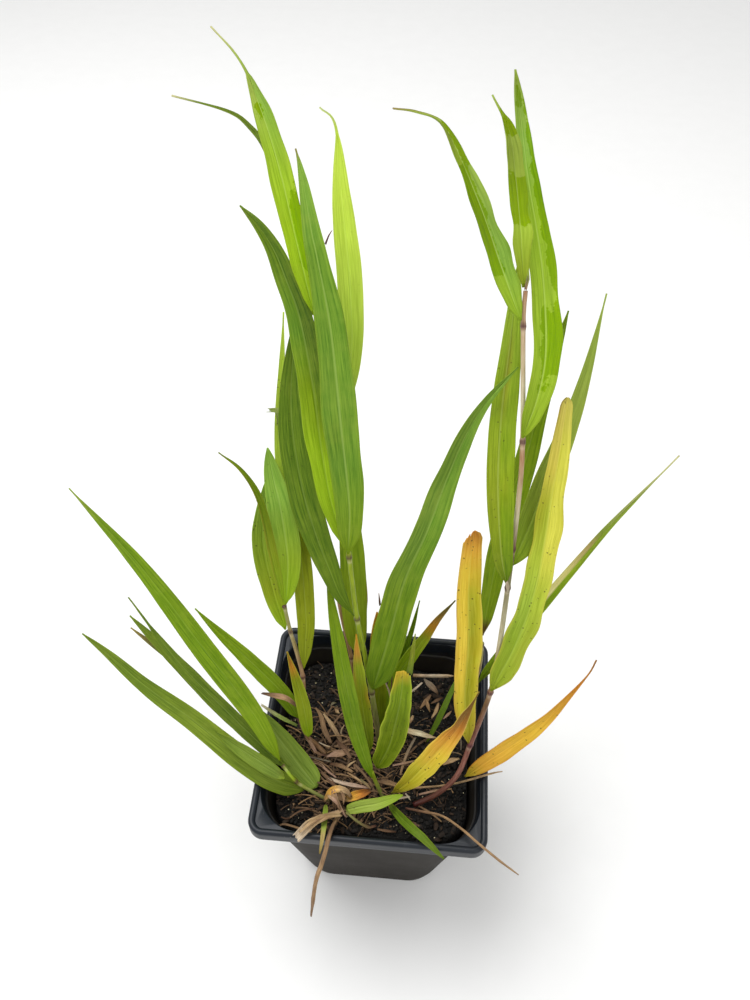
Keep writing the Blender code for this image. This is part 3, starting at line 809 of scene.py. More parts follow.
def strip(colours, widths, *route, **more):
    # a strip's colours and widths from end to end, and the points of its route
    return dict(colours=colours.split(), widths=widths, route=route, **more)


def addStrip(bm, route, widths, colours, curl=stripForm["curl"], twist=0, seed=0):
    form = stripForm
    tint = bm.verts.layers.float_color["tint"]
    skin = bm.loops.layers.uv["skin"]
    points, length = evenRoute(route, form["step"], form["fewestRows"], 1)
    rows, columns, tornPart = len(points) - 1, form["columns"], form["tornPart"]
    bend = math.radians(curl) / 2
    stops = {part / (len(colours) - 1): name for part, name in enumerate(colours)}
    grainAcross, grainAlong = form["grainSteps"]
    sections = []
    for row, (spot, forward) in enumerate(zip(points, routeDirections(points))):
        along = row / rows
        place = along * (len(widths) - 1)
        before = min(int(place), len(widths) - 2)
        width = widths[before] + (widths[before + 1] - widths[before]) * (place - before)
        width *= 1 + form["uneven"] * noise.noise(Vector((row * form["unevenStep"], seed, 1)))
        radius = width * mm / (2 * bend)
        side = forward.cross(Vector((0, 0, 1))).normalized()
        side = Quaternion(forward, math.radians(twist * along)) @ side
        up = side.cross(forward)
        end = max(0, 1 - along * tornPart) - max(0, along * tornPart - (tornPart - 1))
        fray = form["torn"] * mm * end * min(1, width / 2)
        shade = mixStops(stops, along)
        section = []
        for layer in (radius, max(radius - form["thickness"] * mm, radius * form["thinnest"])):
            line = []
            for column in range(columns + 1):
                angle = bend * (2 * column / columns - 1)
                jag = noise.noise(Vector((column * form["raggedStep"], seed, 6)))
                jag = fray * (0.5 - jag * form["ragged"])
                vert = bm.verts.new(spot + side * layer * math.sin(angle)
                                    + up * (radius - layer * math.cos(angle))
                                    - up * radius * form["sink"] - forward * jag)
                grain = noise.noise(Vector((column * grainAcross, row * grainAlong, seed)))
                vert[tint] = (*(shade * (1 + form["grain"] * grain)), 1)
                line.append(vert)
            section.append(line)
        sections.append(section)

    edge = 0.1   # width of the strip's thin edges on its map
    for row in range(rows):
        low, high = row / rows * length * mapScale, (row + 1) / rows * length * mapScale
        (outer, inner), (outerAhead, innerAhead) = sections[row], sections[row + 1]
        for here, ahead in ((outer, outerAhead), (inner, innerAhead)):
            for column in range(columns):
                addFace(bm, (here[column], here[column + 1], ahead[column + 1], ahead[column]), skin,
                        column / columns, (column + 1) / columns, low, high)
        for column in (0, columns):
            addFace(bm, (outer[column], inner[column], innerAhead[column], outerAhead[column]), skin,
                    0, edge, low, high)
    for outer, inner in (sections[0], sections[-1]):
        for column in range(columns):
            addFace(bm, (outer[column], outer[column + 1], inner[column + 1], inner[column]), skin,
                    0, edge, 0, edge)


def buildStrips(name, strips):
    bm = tintedMesh()
    for number, form in enumerate(strips.values()):
        addStrip(bm, seed=number * 3.1, **form)
    addPiece(name, bm, dryStraw, slot="dry_straw", recalc=True)


# each culm: the radius at its foot and at its top, the heights of its nodes, its colours from foot to top
# and its route, in mm
culmForms = {
    "culm_right": dict(
        radii=(1.05, 0.7), nodes=(98, 124, 170, 184, 219, 247),
        stops={0: "darkRed", 0.04: "reddish", 0.1: "rosyBrown", 0.2: "rosyBrown", 0.27: "brownStraw",
            0.33: "tan", 0.42: "culmPale", 0.56: "oliveStraw", 0.6: "reddish", 0.66: "culmPale",
            0.76: "pinkTan", 0.84: "culmPale", 1: "pinkTan"},
        route=((17, -25, 76), (26, -21, 79.5), (33, -16, 87), (37, -8, 98), (42, 1, 124), (43, 8, 143),
            (43, 16, 170), (43, 29, 200), (42, 37, 219), (39, 58, 247), (38.7, 64, 255.4))),
    "culm_centre": dict(
        radii=(1.15, 0.55), nodes=(113, 150, 177, 238),
        stops={0: "oliveStraw", 0.1: "oliveStraw", 0.2: "culmGreen", 0.3: "oliveLeaf", 0.6: "oliveLeaf",
            0.8: "culmGreen", 1: "pinkTan"},
        route=((2, -5, 74.6), (1, -2, 88), (-2, 3, 113), (-5, 8, 132), (-8, 12, 150), (-11, 19, 177),
            (-14.5, 31, 192), (-18.5, 45, 211), (-22.5, 54.5, 227), (-24, 60, 240))),
    "culm_left": dict(
        radii=(1.0, 0.65), nodes=(121, 143, 153),
        stops={0: "brownStraw", 0.3: "tan", 0.6: "pinkTan", 1: "culmGreen"},
        route=((-20, -7, 75.5), (-24, -5, 79.5), (-28, -4, 88), (-28, 0, 108), (-28, 3, 121), (-30, 6, 135),
            (-32, 9, 143), (-34, 13, 153))),
    "culm_low_left": dict(
        radii=(0.75, 0.6), nodes=(87, 94),
        stops={0: "oliveStraw", 0.4: "culmGreen", 0.7: "oliveLeaf", 1: "springPale"},
        route=((-16, -26, 75.3), (-23, -25, 81), (-29, -24, 87), (-34, -21, 94))),
    "culm_front": dict(
        radii=(0.9, 0.7), nodes=(),
        stops={0: "oliveStraw", 1: "oliveYellow"},
        route=((5, -23, 75), (3, -21, 79), (1, -19, 84), (0, -18, 88))),
    "culm_withered": dict(
        radii=(0.9, 0.6), nodes=(117,),
        stops={0: "brownStraw", 0.6: "tan", 1: "pinkTan"},
        route=((-9, 15, 74.4), (-10, 15, 98), (-11, 15, 117), (-14, 18, 137), (-16, 22, 148),
            (-19, 31, 168))),
    "culm_right_back": dict(
        radii=(1.0, 0.7), nodes=(92, 111),
        stops={0: "brownStraw", 0.5: "pinkTan", 1: "culmGreen"},
        route=((37, 17, 74.4), (38, 19, 90), (40, 24, 102), (40, 29, 112))),
}
culmDetail = {
    "pitch": 0.8,          # distance of the rings along the culm
    "around": 16,
    "nodeSwelling": 0.34,
    "nodeReach": 0.8,
    "nodeColour": "purple",
    "nodeShare": 0.85,
    "collarColour": "bleached",
    "collarShare": 0.4,
    "collarDrop": 1.6,     # the pale collar lies this far under its node
    "collarReach": 0.7,
}


def buildCulm(name, form):
    detail = culmDetail
    points, _ = evenRoute(form["route"], detail["pitch"], fewestRings)
    foot, top = form["radii"]
    reach = detail["nodeReach"]
    radii, colours = [], []
    for i, spot in enumerate(points):
        along = i / (len(points) - 1)
        radius = (foot + (top - foot) * along) * mm
        colour = mixStops(form["stops"], along)
        for node in form["nodes"]:
            away = (spot.z / mm - node) / reach
            swelling = math.exp(-away * away)
            radius *= 1 + detail["nodeSwelling"] * swelling
            colour = colour.lerp(tone(detail["nodeColour"]), swelling * detail["nodeShare"])
            under = (spot.z / mm - node + detail["collarDrop"]) / (reach * detail["collarReach"])
            colour = colour.lerp(tone(detail["collarColour"]), math.exp(-under * under) * detail["collarShare"])
        radii.append(radius)
        colours.append(colour)
    buildTube(name + "Skin", points, radii, colours, detail["around"],
              material=culmSkin, slot="culm_skin", replaced=(name,))


for culmName, culmForm in culmForms.items():
    buildCulm(culmName, culmForm)
print("culms made")


# Each leaf's route runs from foot to tip, in mm. Its stops are colours from foot to tip, and right those of its
# right half where it differs. Wet patches and marks are places along the blade and across it, from -1 at the
# left margin to 1 at the right one, and a mark also has its colour and strength. What a leaf doesn't give,
# it takes from here
plainLeaf = dict(
    left=1,                # how much of the blade is left where its tip is gone
    turn=(0, 0),           # how far it is turned round its route at foot and tip, in degrees
    fold=14,
    thread=0,              # share of its length that is drawn out to a thread
    stops={0: "moss", 1: "moss"}, right=None, edge=("oliveYellow", 0.3), wet=(), marks=(),
    midrib=0.35, ribShift=0, specks=0.12,
    ripple=0.35, wavy=0.035,
    slant=0, ragged=0, blunt=0,   # how its tip is torn off
)
leafForms = {
    "leaf_right_1": dict(
        width=7.2, widest=0.28, taper=2.4, turn=(0, 10), midrib=0.2, specks=0.7, edge=("amber", 0.6),
        stops={0: "mustard", 0.14: "gold", 0.5: "yellowWarm", 0.68: "gold", 0.85: "orangeWarm", 1: "rust"},
        route=((36, -16, 86), (44, -13.5, 97), (50, -11.5, 104.5), (55.5, -9.5, 111), (63, -6, 120.5),
            (69.5, -1.5, 130.5), (75, 3, 139), (77, 6, 144))),
    "leaf_right_2": dict(
        width=9.6, widest=0.36, taper=1.3, left=0.76, fold=12, specks=0.9, edge=("lemon", 0.8), wavy=0.08,
        slant=-0.05, ragged=0.02, blunt=0.02,
        stops={0: "mustardDeep", 0.16: "lemonMustard", 0.34: "sunYellow", 0.84: "sunYellow", 0.93: "gold",
            1: "orangeWarm"},
        right={0: "mustardDeep", 0.2: "mustardLight", 0.3: "mustardBright", 0.72: "mustardBright",
            0.84: "goldYellow", 0.93: "gold", 1: "orangeWarm"},
        marks=((0.98, 1.1, -1.3, 1.3, "rust", 0.6), (0.1, 0.95, -1.4, -0.95, "amber", 0.6),
            (0.12, 0.75, 0.05, 0.4, "oliveGold", 0.8)),
        route=((36, -9, 101), (33, -1, 120), (32, 9, 146), (30, 18, 169), (30, 26, 187))),
    "leaf_right_3": dict(
        width=10.4, widest=0.28, taper=1.2, left=0.84, fold=12, specks=0.7, edge=("lemon", 0.5), ripple=0.6,
        wavy=0.22, ragged=0.02, blunt=0.03,
        stops={0: "oliveYellow", 0.2: "springOlive", 0.36: "springPale", 0.5: "lemonGreen",
            0.66: "lemonGreen", 0.78: "lemon", 1: "yellowPale"},
        right={0: "oliveYellow", 0.22: "springPale", 0.38: "lemonGreen", 0.52: "citron", 0.85: "citron",
            1: "yellowPale"},
        marks=((0.9, 1.1, -1.5, -0.9, "rust", 0.9), (0.58, 0.76, -1.3, -0.2, "mustard", 0.6),
            (0.12, 0.3, 0.3, 0.8, "mustard", 0.5)),
        route=((41.8, -0.3, 127.5), (49, 9, 149), (53, 19.5, 170.5), (54.2, 33, 195.5), (55.5, 45.5, 212.5),
            (56.3, 54.5, 222.5))),
    "leaf_right_4": dict(
        width=9.2, widest=0.4, taper=1.1, midrib=0.8, ribShift=0.06, specks=0.5,
        stops={0: "oliveDeep", 0.3: "oliveLeaf", 0.6: "springOlive", 0.85: "springPale", 1: "springPale"},
        right={0: "moss", 0.3: "leafGold", 0.6: "springOlive", 1: "springPale"},
        marks=((0.56, 0.78, -0.1, 0.02, "rust", 0.75), (0.3, 0.36, 0.2, 0.5, "mustard", 0.6)),
        route=((42, 14.5, 174.5), (39, 20, 188), (36.5, 33, 205), (36, 48, 221), (37, 64.5, 236),
            (37.5, 83.5, 251))),
    "leaf_right_5": dict(
        width=9, widest=0.2, taper=1.5, fold=12,
        stops={0: "leafGold", 0.3: "sageLeaf", 1: "sageDry"},
        route=((43.8, 20.9, 176), (48.5, 30.8, 185), (53.3, 43.3, 195), (59, 56, 206.5), (63.5, 69, 220),
            (68, 87.5, 239))),
    "leaf_right_6": dict(
        width=9, widest=0.32, taper=1.05, fold=22, midrib=0.9, ripple=1, wavy=0.16,
        stops={0: "springOlive", 0.25: "springSoft", 0.6: "springSoft", 0.78: "fernLight", 1: "sageLeaf"},
        wet=((0.4, 0.88, 0.4, 1.8), (0.16, 0.36, -0.4, 1.8), (0.9, 0.97, -0.8, 0.6)),
        route=((41.5, 36, 221.5), (45, 44, 230.5), (46.5, 55, 241), (43.5, 73.5, 258), (37, 93, 277),
            (31.5, 118, 296))),
    "leaf_right_7": dict(
        width=7.2, widest=0.3, taper=1.5, turn=(0, 30), thread=0.12, midrib=0.9, ripple=1.1, wavy=0.24,
        stops={0: "springSoft", 0.2: "springSoft", 0.3: "springOlive", 0.62: "springOlive",
            0.74: "sageLeaf", 0.9: "sageDry", 1: "tan"},
        right={0: "springSoft", 0.25: "fernLight", 0.8: "sageDry", 1: "tan"},
        wet=((0.2, 0.62, -1.8, 0.2), (0.64, 0.76, -0.1, 1.8)),
        route=((38, 58, 249), (30.3, 67.3, 262.5), (24.2, 74.2, 274), (16.3, 81.5, 287),
            (10.4, 85.2, 294.7), (3.3, 83, 298.6), (-2.8, 79.3, 301))),
    "leaf_right_8": dict(
        width=6.4, widest=0.45, taper=1.2, fold=30, thread=0.1, midrib=0.7, ripple=1.1, wavy=0.24,
        stops={0: "oliveYellow", 0.3: "springPale", 0.7: "sageLeaf", 1: "sageDry"},
        wet=((0.78, 0.9, -1.8, 1.8), (0.34, 0.56, -1.8, 1.8)),
        route=((38, 64, 256.5), (36, 72, 267.5), (33, 82, 280.5), (30, 91, 290.5), (24.5, 98.5, 297))),
    "leaf_back_1": dict(
        width=9, widest=0.4, taper=1.3, fold=12,
        stops={0: "darkRed", 0.035: "darkRed", 0.07: "leafGold", 0.5: "leafGold", 1: "moss"},
        route=((40, 31, 114), (41, 39, 135), (43, 48, 155), (48, 61, 183), (51, 71, 203), (57, 88, 231))),
    # partly painted light: its peach flap is its own pale colour made brighter, standing in for light where the
    # flap faces away from the lamps
    "leaf_back_2": dict(
        width=4.8, widest=0.3, taper=2, turn=(-20, -20), fold=20,
        stops={0: "moss", 0.14: "meadow", 0.2: "husk", 0.5: "peachPale", 0.6: "straw", 0.66: "sageLeaf",
            1: "husk"},
        right={0: "oliveDark", 0.4: "meadow", 0.5: "springOlive", 0.8: "sageLeaf", 1: "husk"},
        route=((40, 20, 95), (44, 22, 106), (57, 33, 124), (71, 46, 141), (85, 59, 156), (109, 82, 171))),
    "leaf_centre_1": dict(
        width=12, widest=0.25, taper=1.17, midrib=0.5, ripple=0.6, wavy=0.1,
        stops={0: "moss", 0.3: "moss", 0.5: "fernMid", 0.8: "fernMid", 1: "fern"},
        right={0: "moss", 0.3: "moss", 0.55: "fern", 1: "fernLight"},
        route=((-1.5, 2, 117), (3.5, 10, 140.5), (8, 19, 164.5), (14.5, 27, 183), (19.5, 37, 197.5),
            (24.8, 43, 214), (30.3, 47, 225.4), (38.8, 52.7, 235.4))),
    "leaf_centre_2": dict(
        width=10.4, widest=0.45, taper=1.8, midrib=0.3, specks=0.3, edge=("oliveDark", 0.4),
        stops={0: "mossDeep", 0.4: "fernDeep", 1: "fernDeep"},
        route=((-8.8, 9.8, 155), (-13, 12.5, 161), (-16.5, 16, 168), (-25.5, 28.5, 188), (-31, 42, 206),
            (-33, 53.5, 217.5), (-33, 66, 229), (-32.5, 75, 238))),
    "leaf_centre_3": dict(
        width=11, widest=0.33, taper=1.3, fold=12, midrib=0.7, ripple=0.5, wavy=0.08,
        stops={0: "leafGold", 0.25: "fern", 0.75: "fern", 0.96: "fernLight", 1: "brownStraw"},
        marks=((0.3, 0.33, -0.6, -0.2, "mossDeep", 0.7),),
        route=((-11, 16.5, 182), (-10.8, 22.5, 199), (-14.2, 35.5, 220.5), (-19, 54.5, 244.5),
            (-23.9, 67.5, 259.8), (-26.5, 74.5, 266), (-30.6, 87.8, 276.2), (-33, 94, 280.5))),
    # painted shade and light: its right-half stops are darker where that half lies in shadow, and its bright
    # foot is partly painted back-light
    "leaf_centre_4": dict(
        width=10, widest=0.42, taper=1.3, fold=20, midrib=0.4, edge=("springOlive", 0.35), wavy=0.08,
        stops={0: "springBright", 0.3: "springBright", 0.48: "leafGold", 0.62: "fern", 0.8: "fernDeep",
            1: "oliveDark"},
        right={0: "springBright", 0.26: "springBright", 0.36: "leafGold", 0.48: "fernDeep",
            0.62: "fernDark", 1: "fernDeep"},
        route=((-12.6, 19.8, 181), (-17.6, 27.5, 196.5), (-21, 36, 211), (-23.5, 44.5, 224),
            (-27, 55, 235.5), (-30.5, 63.5, 244), (-34.5, 70, 250), (-39, 77, 256), (-44.5, 82.5, 261),
            (-50.7, 87.5, 264.5))),
    "leaf_centre_5": dict(
        width=8.4, widest=0.5, taper=1.8, fold=10, thread=0.08, midrib=0.35, edge=("limeTip", 0.3),
        stops={0: "springPale", 0.3: "springPale", 0.6: "limePale", 0.9: "limePale", 1: "sagePale"},
        route=((-17, 47.5, 206.5), (-14, 62.5, 224), (-15.5, 78.5, 241.5), (-20, 98.5, 262),
            (-23.5, 116, 277), (-29, 120, 281))),
    "leaf_centre_6": dict(
        width=8.2, widest=0.45, taper=1.1, fold=26, thread=0.19, midrib=0.8, ripple=0.6, wavy=0.12,
        stops={0: "springBright", 0.3: "springBright", 0.55: "springSoft", 0.76: "sageDry", 0.86: "sageDry",
            1: "husk"},
        right={0: "spring", 0.3: "springBright", 0.5: "springSoft", 0.7: "fernLight", 0.86: "sageDry",
            1: "husk"},
        wet=((0.64, 0.71, -0.7, 0.2), (0.12, 0.42, 0.1, 1.8)),
        route=((-25, 61.5, 244), (-29, 70.5, 254), (-32.5, 78.5, 262.5), (-36.5, 87.5, 273.5),
            (-41, 96, 283.5), (-45.5, 103.5, 291), (-49, 108.5, 296.5), (-53.5, 113, 300.5),
            (-60.5, 118, 305))),
    "leaf_centre_7": dict(
        width=3, widest=0.3, taper=1.8, fold=10,
        stops={0: "purple", 0.14: "oliveDeep", 0.5: "sage", 0.9: "sageLight", 1: "husk"},
        route=((-26, 65, 241.5), (-35, 85, 260), (-43, 101.5, 274), (-50, 108, 280), (-57, 110, 283.5),
            (-74, 111, 287))),
    "leaf_centre_8": dict(
        width=9.6, widest=0.32, taper=1.3, fold=10,
        stops={0: "oliveYellow", 0.5: "leafGold", 1: "moss"},
        route=((-8, 11.5, 125.5), (-10, 21, 144.5), (-11.5, 31, 162), (-14.5, 44.5, 181.5),
            (-18.5, 58.5, 197))),
    "leaf_left_1": dict(
        width=5.4, widest=0.36, taper=1.4, edge=("lemonGreen", 0.5),
        stops={0: "spring", 0.3: "oliveYellow", 0.72: "oliveGold", 0.84: "amber", 1: "rust"},
        route=((-26, -7.4, 91.4), (-27, -4.8, 106.8), (-29, -1.2, 119.7), (-33.2, 5, 135))),
    "leaf_left_2": dict(
        width=7, widest=0.32, taper=1.5, fold=10, specks=0.5,
        stops={0: "oliveGold", 0.45: "oliveGold", 0.6: "springPale", 1: "limePale"},
        route=((-27, 2.4, 128.5), (-26.3, 7, 141), (-26.2, 11.2, 149.6), (-28.5, 23.3, 168.4),
            (-34, 38.5, 188), (-37.3, 52, 202), (-39, 82, 228.5))),
    "leaf_left_3": dict(
        width=8.2, widest=0.4, taper=1.3, midrib=0.2, specks=0.7, edge=("springPale", 0.4),
        stops={0: "spring", 0.25: "oliveLeaf", 1: "fernLight"},
        route=((-34, 10, 142), (-39, 19, 155), (-43, 29.5, 169), (-41.5, 39, 184), (-39, 45.5, 191.5))),
    "leaf_left_4": dict(
        width=10, widest=0.45, taper=1.3, fold=12, midrib=0.5, specks=0.4, edge=("springPale", 0.4),
        stops={0: "spring", 0.3: "springOlive", 0.7: "fernLight", 1: "fernLight"},
        route=((-33, 12, 156), (-32.5, 20.5, 171.5), (-35, 29, 188), (-38, 36, 196.5), (-40, 41.5, 204))),
    "leaf_left_5": dict(
        width=4.4, widest=0.4, taper=1.4, turn=(50, 60), fold=20, edge=("rust", 0.3),
        stops={0: "spring", 0.35: "oliveLeaf", 0.6: "oliveDeep", 1: "oliveDeep"},
        route=((-33.5, 10.5, 159.5), (-36.5, 16, 176), (-39, 21.5, 190), (-41.5, 25.5, 198.5),
            (-46.5, 29, 206), (-53.5, 31.5, 211))),
    "leaf_left_6": dict(
        width=7, widest=0.33, taper=1.4,
        stops={0: "meadow", 1: "meadow"},
        route=((-30.5, -2, 96), (-37, 3, 106), (-49, 9, 118), (-63, 16, 129), (-71, 21, 134))),
    "leaf_low_1": dict(
        width=8.8, widest=0.33, taper=1.6, fold=12, midrib=0.15,
        stops={0: "leafGold", 0.3: "moss", 0.6: "moss", 0.85: "moss", 1: "sageLeaf"},
        route=((-35, -20, 96), (-46, -9, 113), (-64, 5, 131), (-91, 28, 150), (-122, 52, 163))),
    "leaf_low_2": dict(
        width=6, widest=0.35, taper=1.2, thread=0.12, midrib=0.5,
        stops={0: "sage", 1: "sage"},
        route=((-34, -20, 90.5), (-55.5, -7.5, 105.5), (-77, 6, 120.5), (-97.5, 23.5, 134.5))),
    "leaf_low_3": dict(
        width=6, widest=0.45, taper=1.4, fold=12,
        stops={0: "sage", 1: "sageLight"},
        route=((-34.5, -18, 87.5), (-57.5, -5, 101), (-77, 8, 112), (-99.5, 23, 122))),
    "leaf_low_4": dict(
        width=3.6, widest=0.5, taper=1.4, fold=12,
        stops={0: "sage", 0.6: "sage", 0.85: "oliveStraw", 1: "tan"},
        route=((-32.4, -17.8, 85.4), (-53, -6, 93.5), (-74, 8, 105.5), (-100.5, 22, 114.5))),
    "leaf_low_5": dict(
        width=5.8, widest=0.4, taper=1.2,
        stops={0: "limePale", 0.06: "sageBlue", 0.3: "sageBlue", 1: "sage"},
        marks=((0.05, 0.09, 0.3, 1.2, "brown", 0.6),),
        route=((-33, -25, 91.7), (-40.2, -23, 98), (-48, -20.4, 102.4), (-59, -15.6, 106.5))),
    "leaf_low_6": dict(
        width=9.4, widest=0.2, taper=0.9, fold=10, midrib=0.2,
        stops={0: "sageLight", 0.4: "sageLight", 0.8: "sage", 1: "sageLight"},
        route=((-26.5, -24, 79), (-40, -23.5, 89), (-54.5, -18, 98), (-71, -10, 106.5), (-88, -2.5, 113.5),
            (-103, 6, 120), (-115, 12.5, 123.5))),
    "leaf_low_7": dict(
        width=11, widest=0.3, taper=1, fold=10, midrib=0.4,
        stops={0: "sageBlue", 1: "sageBlue"},
        route=((-21.6, -21.7, 76.8), (-30, -14.3, 81), (-39, -7, 89.5), (-47.5, 0, 97.5))),
    "leaf_front_1": dict(
        width=9, widest=0.4, taper=2.4, fold=12, midrib=0.2, specks=0.9, edge=("lemon", 0.6), ripple=1.2,
        wavy=0.2,
        stops={0: "mustardDeep", 0.12: "mustard", 0.28: "mustardLight", 0.42: "sunYellow", 0.56: "gold",
            0.66: "amber", 0.78: "rust", 1: "brown"},
        right={0: "mustardDeep", 0.2: "mustardLight", 0.48: "sunYellow", 0.6: "gold", 0.7: "amber",
            0.82: "rust", 1: "brown"},
        marks=((0.36, 0.6, -0.7, 0.2, "amber", 0.3),),
        route=((8, -23.5, 82), (14, -22, 90.5), (21, -18, 101.5), (25.5, -15, 109), (30, -12, 117),
            (33.5, -8.5, 125), (37, -4, 133))),
    "leaf_front_2": dict(
        width=10.2, widest=0.35, taper=1.1, left=0.84, fold=12, specks=0.5, edge=("lemonGreen", 0.9),
        wavy=0.1, slant=0.035, ragged=0.04,
        stops={0: "oliveLow", 0.5: "oliveLow", 1: "leafGold"},
        marks=((0.94, 1.1, -1.3, 0.9, "gold", 0.8), (0.86, 0.94, -1.4, -0.7, "gold", 0.7)),
        route=((1.8, -16.3, 88), (5.5, -13.3, 98.7), (7.5, -10.4, 110.2), (9.3, -6.3, 126.5),
            (9.7, -1.4, 139))),
    "leaf_front_3": dict(
        width=6.6, widest=0.4, taper=1.3, midrib=0.25,
        stops={0: "moss", 0.5: "moss", 1: "leafGold"},
        route=((0.2, -20.8, 89), (-6.3, -11.6, 107.5), (-10.2, -4.5, 126.8), (-14.3, 5.7, 144.8),
            (-16.5, 11.8, 153.3), (-19.3, 20.7, 163))),
    "leaf_front_4": dict(
        width=6, widest=0.35, taper=1.3, specks=0.7, edge=("lemonGreen", 0.6), ripple=0.6, wavy=0.16,
        stops={0: "oliveLow", 0.5: "oliveGold", 0.76: "oliveYellow", 0.86: "apricot", 1: "orangeWarm"},
        marks=((0.42, 0.56, 0.7, 1.4, "amber", 0.6), (0.6, 0.74, -1.3, -0.7, "apricot", 0.6)),
        route=((-1.5, -12.5, 93.5), (-4.5, -4.5, 112), (-7, 3, 134), (-8, 8.5, 145))),
    "leaf_front_5": dict(
        width=6, widest=0.5, taper=1.3, fold=10,
        stops={0: "oliveDark", 0.6: "oliveGold", 0.78: "mustardLight", 0.86: "gold", 1: "orangeWarm"},
        route=((1, 2, 75), (0.5, 6, 110), (-1, 10, 138), (-1, 14, 152))),
    "leaf_inner_1": dict(
        width=5.8, widest=0.4, taper=1.7,
        stops={0: "moss", 0.5: "leafGold", 0.68: "oliveYellow", 0.78: "amber", 0.9: "brownStraw",
            1: "brown"},
        route=((2, 13, 75), (8, 21, 97), (17, 28, 114), (22, 33, 121), (28, 38, 127))),
    "leaf_inner_2": dict(
        width=2.6, widest=0.4, taper=1.4, fold=10,
        route=((5, 24, 75.6), (9, 28, 98.5), (12, 34, 112), (14, 39, 123.5))),
    "leaf_inner_3": dict(
        width=2.4, widest=0.4, taper=1.4, fold=10,
        stops={0: "fernDeep", 1: "fernLight"},
        route=((21, 2, 75), (25, 8, 84), (29, 15, 94), (33, 22, 104))),
    "leaf_spent_1": dict(
        width=2.6, widest=0.35, taper=1.3, fold=10,
        stops={0: "brown", 1: "rust"},
        route=((-19.5, 32, 169.5), (-24, 36, 180), (-29, 43, 192), (-31, 48, 198))),
    "leaf_sprout_1": dict(
        width=5, widest=0.35, taper=0.9, fold=10, midrib=0.3,
        stops={0: "sageDry", 0.5: "sageDry", 1: "springSoft"},
        route=((-9, -30.7, 80), (-3.6, -30, 83), (3, -29, 85), (12.5, -25.3, 86))),
    "leaf_sprout_2": dict(
        width=3.7, widest=0.4, taper=1, midrib=0.2,
        stops={0: "sage", 0.4: "fernDeep", 1: "sage"},
        route=((7.3, -25.4, 76), (11.5, -32, 83), (17, -39, 89.5), (21.2, -42.5, 90.3), (29, -48, 87))),
    "leaf_sprout_3": dict(
        width=2.1, widest=0.4, taper=0.8, fold=10, midrib=0.2,
        stops={0: "sageLeaf", 0.6: "sageDry", 0.75: "straw", 1: "tan"},
        route=((-17.3, -28, 76.5), (-16.4, -36, 84), (-15.9, -45.2, 89.7), (-16.3, -50.6, 88.5))),
}
yellowLeaves = ("leaf_right_1", "leaf_right_2", "leaf_front_1")
bladeForm = {
    "columns": 26,
    "columnSpread": 0.9,
    "rowLength": 1.4,
    "fewestRows": 14,
    "thickness": 0.3,
    "ribHeight": 0.06,     # the veins that stand up along the blade
    "plainMargin": 0.93,   # they end here, short of the margin
    "grooveDepth": 0.2,
    "grooveWidth": 0.09,
    "fullRelief": 1.5,     # blades with a smaller half width have less relief
    "rippleLength": 11,
    "rippleRise": 3,       # how sharply ripples rise towards the margin
    "waveCount": 9,
    "waveGain": 1.4,
    "foot": 0.003,
    "footReach": 0.06,
    "footPower": 0.5,
    "narrowest": 0.5,
    "threadWidths": (0.9, 0.3),
    "bluntEnd": 0.04,
    "tornPart": 4,         # a slanted and ragged tip is this part of the blade, a quarter
    "raggedStep": 0.9,
    "upperSide": (0.1, -0.62, 0.78),
    "halvesBlend": 0.12,   # how softly the left half's colour turns into the right half's
    "edgePower": 9,
    "patchSoft": (0.12, 0.7),
}


def bladeWidth(along, leaf):
    # narrow at the foot and drawn out to a point or a thread
    form = bladeForm
    thread, widest, taper = leaf["thread"], leaf["widest"], leaf["taper"]
    reach = min(along / (1 - thread), 1)
    rise = ((reach + form["foot"]) / (widest + form["foot"])) ** (taper * widest)
    fall = (max(1 - reach, 0) / (1 - widest)) ** (taper * (1 - widest))
    foot = min(along / form["footReach"], 1) ** form["footPower"]
    width = max(leaf["width"] * rise * fall * foot, form["narrowest"])
    if thread:
        thick, fine = form["threadWidths"]
        tail = max(0, along - 1 + thread) / thread
        width = max(width, thick + (fine - thick) * tail) if tail else max(width, thick)
    return width * mm


def patchFade(along, side, patch):
    # 1 inside a patch of the blade, 0 outside it and one half on its border
    softAlong, softSide = bladeForm["patchSoft"]
    fade = 1
    for inside in (min(along - patch[0], patch[1] - along) / softAlong,
                   min(side - patch[2], patch[3] - side) / softSide):
        fade *= min(max(inside + 0.5, 0), 1)
    return fade


def bladeColour(leaf, along, side):
    colour = mixStops(leaf["stops"], along)
    if leaf["right"]:
        turned = min(max(side / bladeForm["halvesBlend"] * 0.5 + 0.5, 0), 1)
        colour = colour.lerp(mixStops(leaf["right"], along), turned)
    edgeColour, edgeShare = leaf["edge"]
    colour = colour.lerp(tone(edgeColour), edgeShare * abs(side) ** bladeForm["edgePower"])
    for *patch, markColour, strength in leaf["marks"]:
        colour = colour.lerp(tone(markColour), patchFade(along, side, patch) * strength)
    return colour


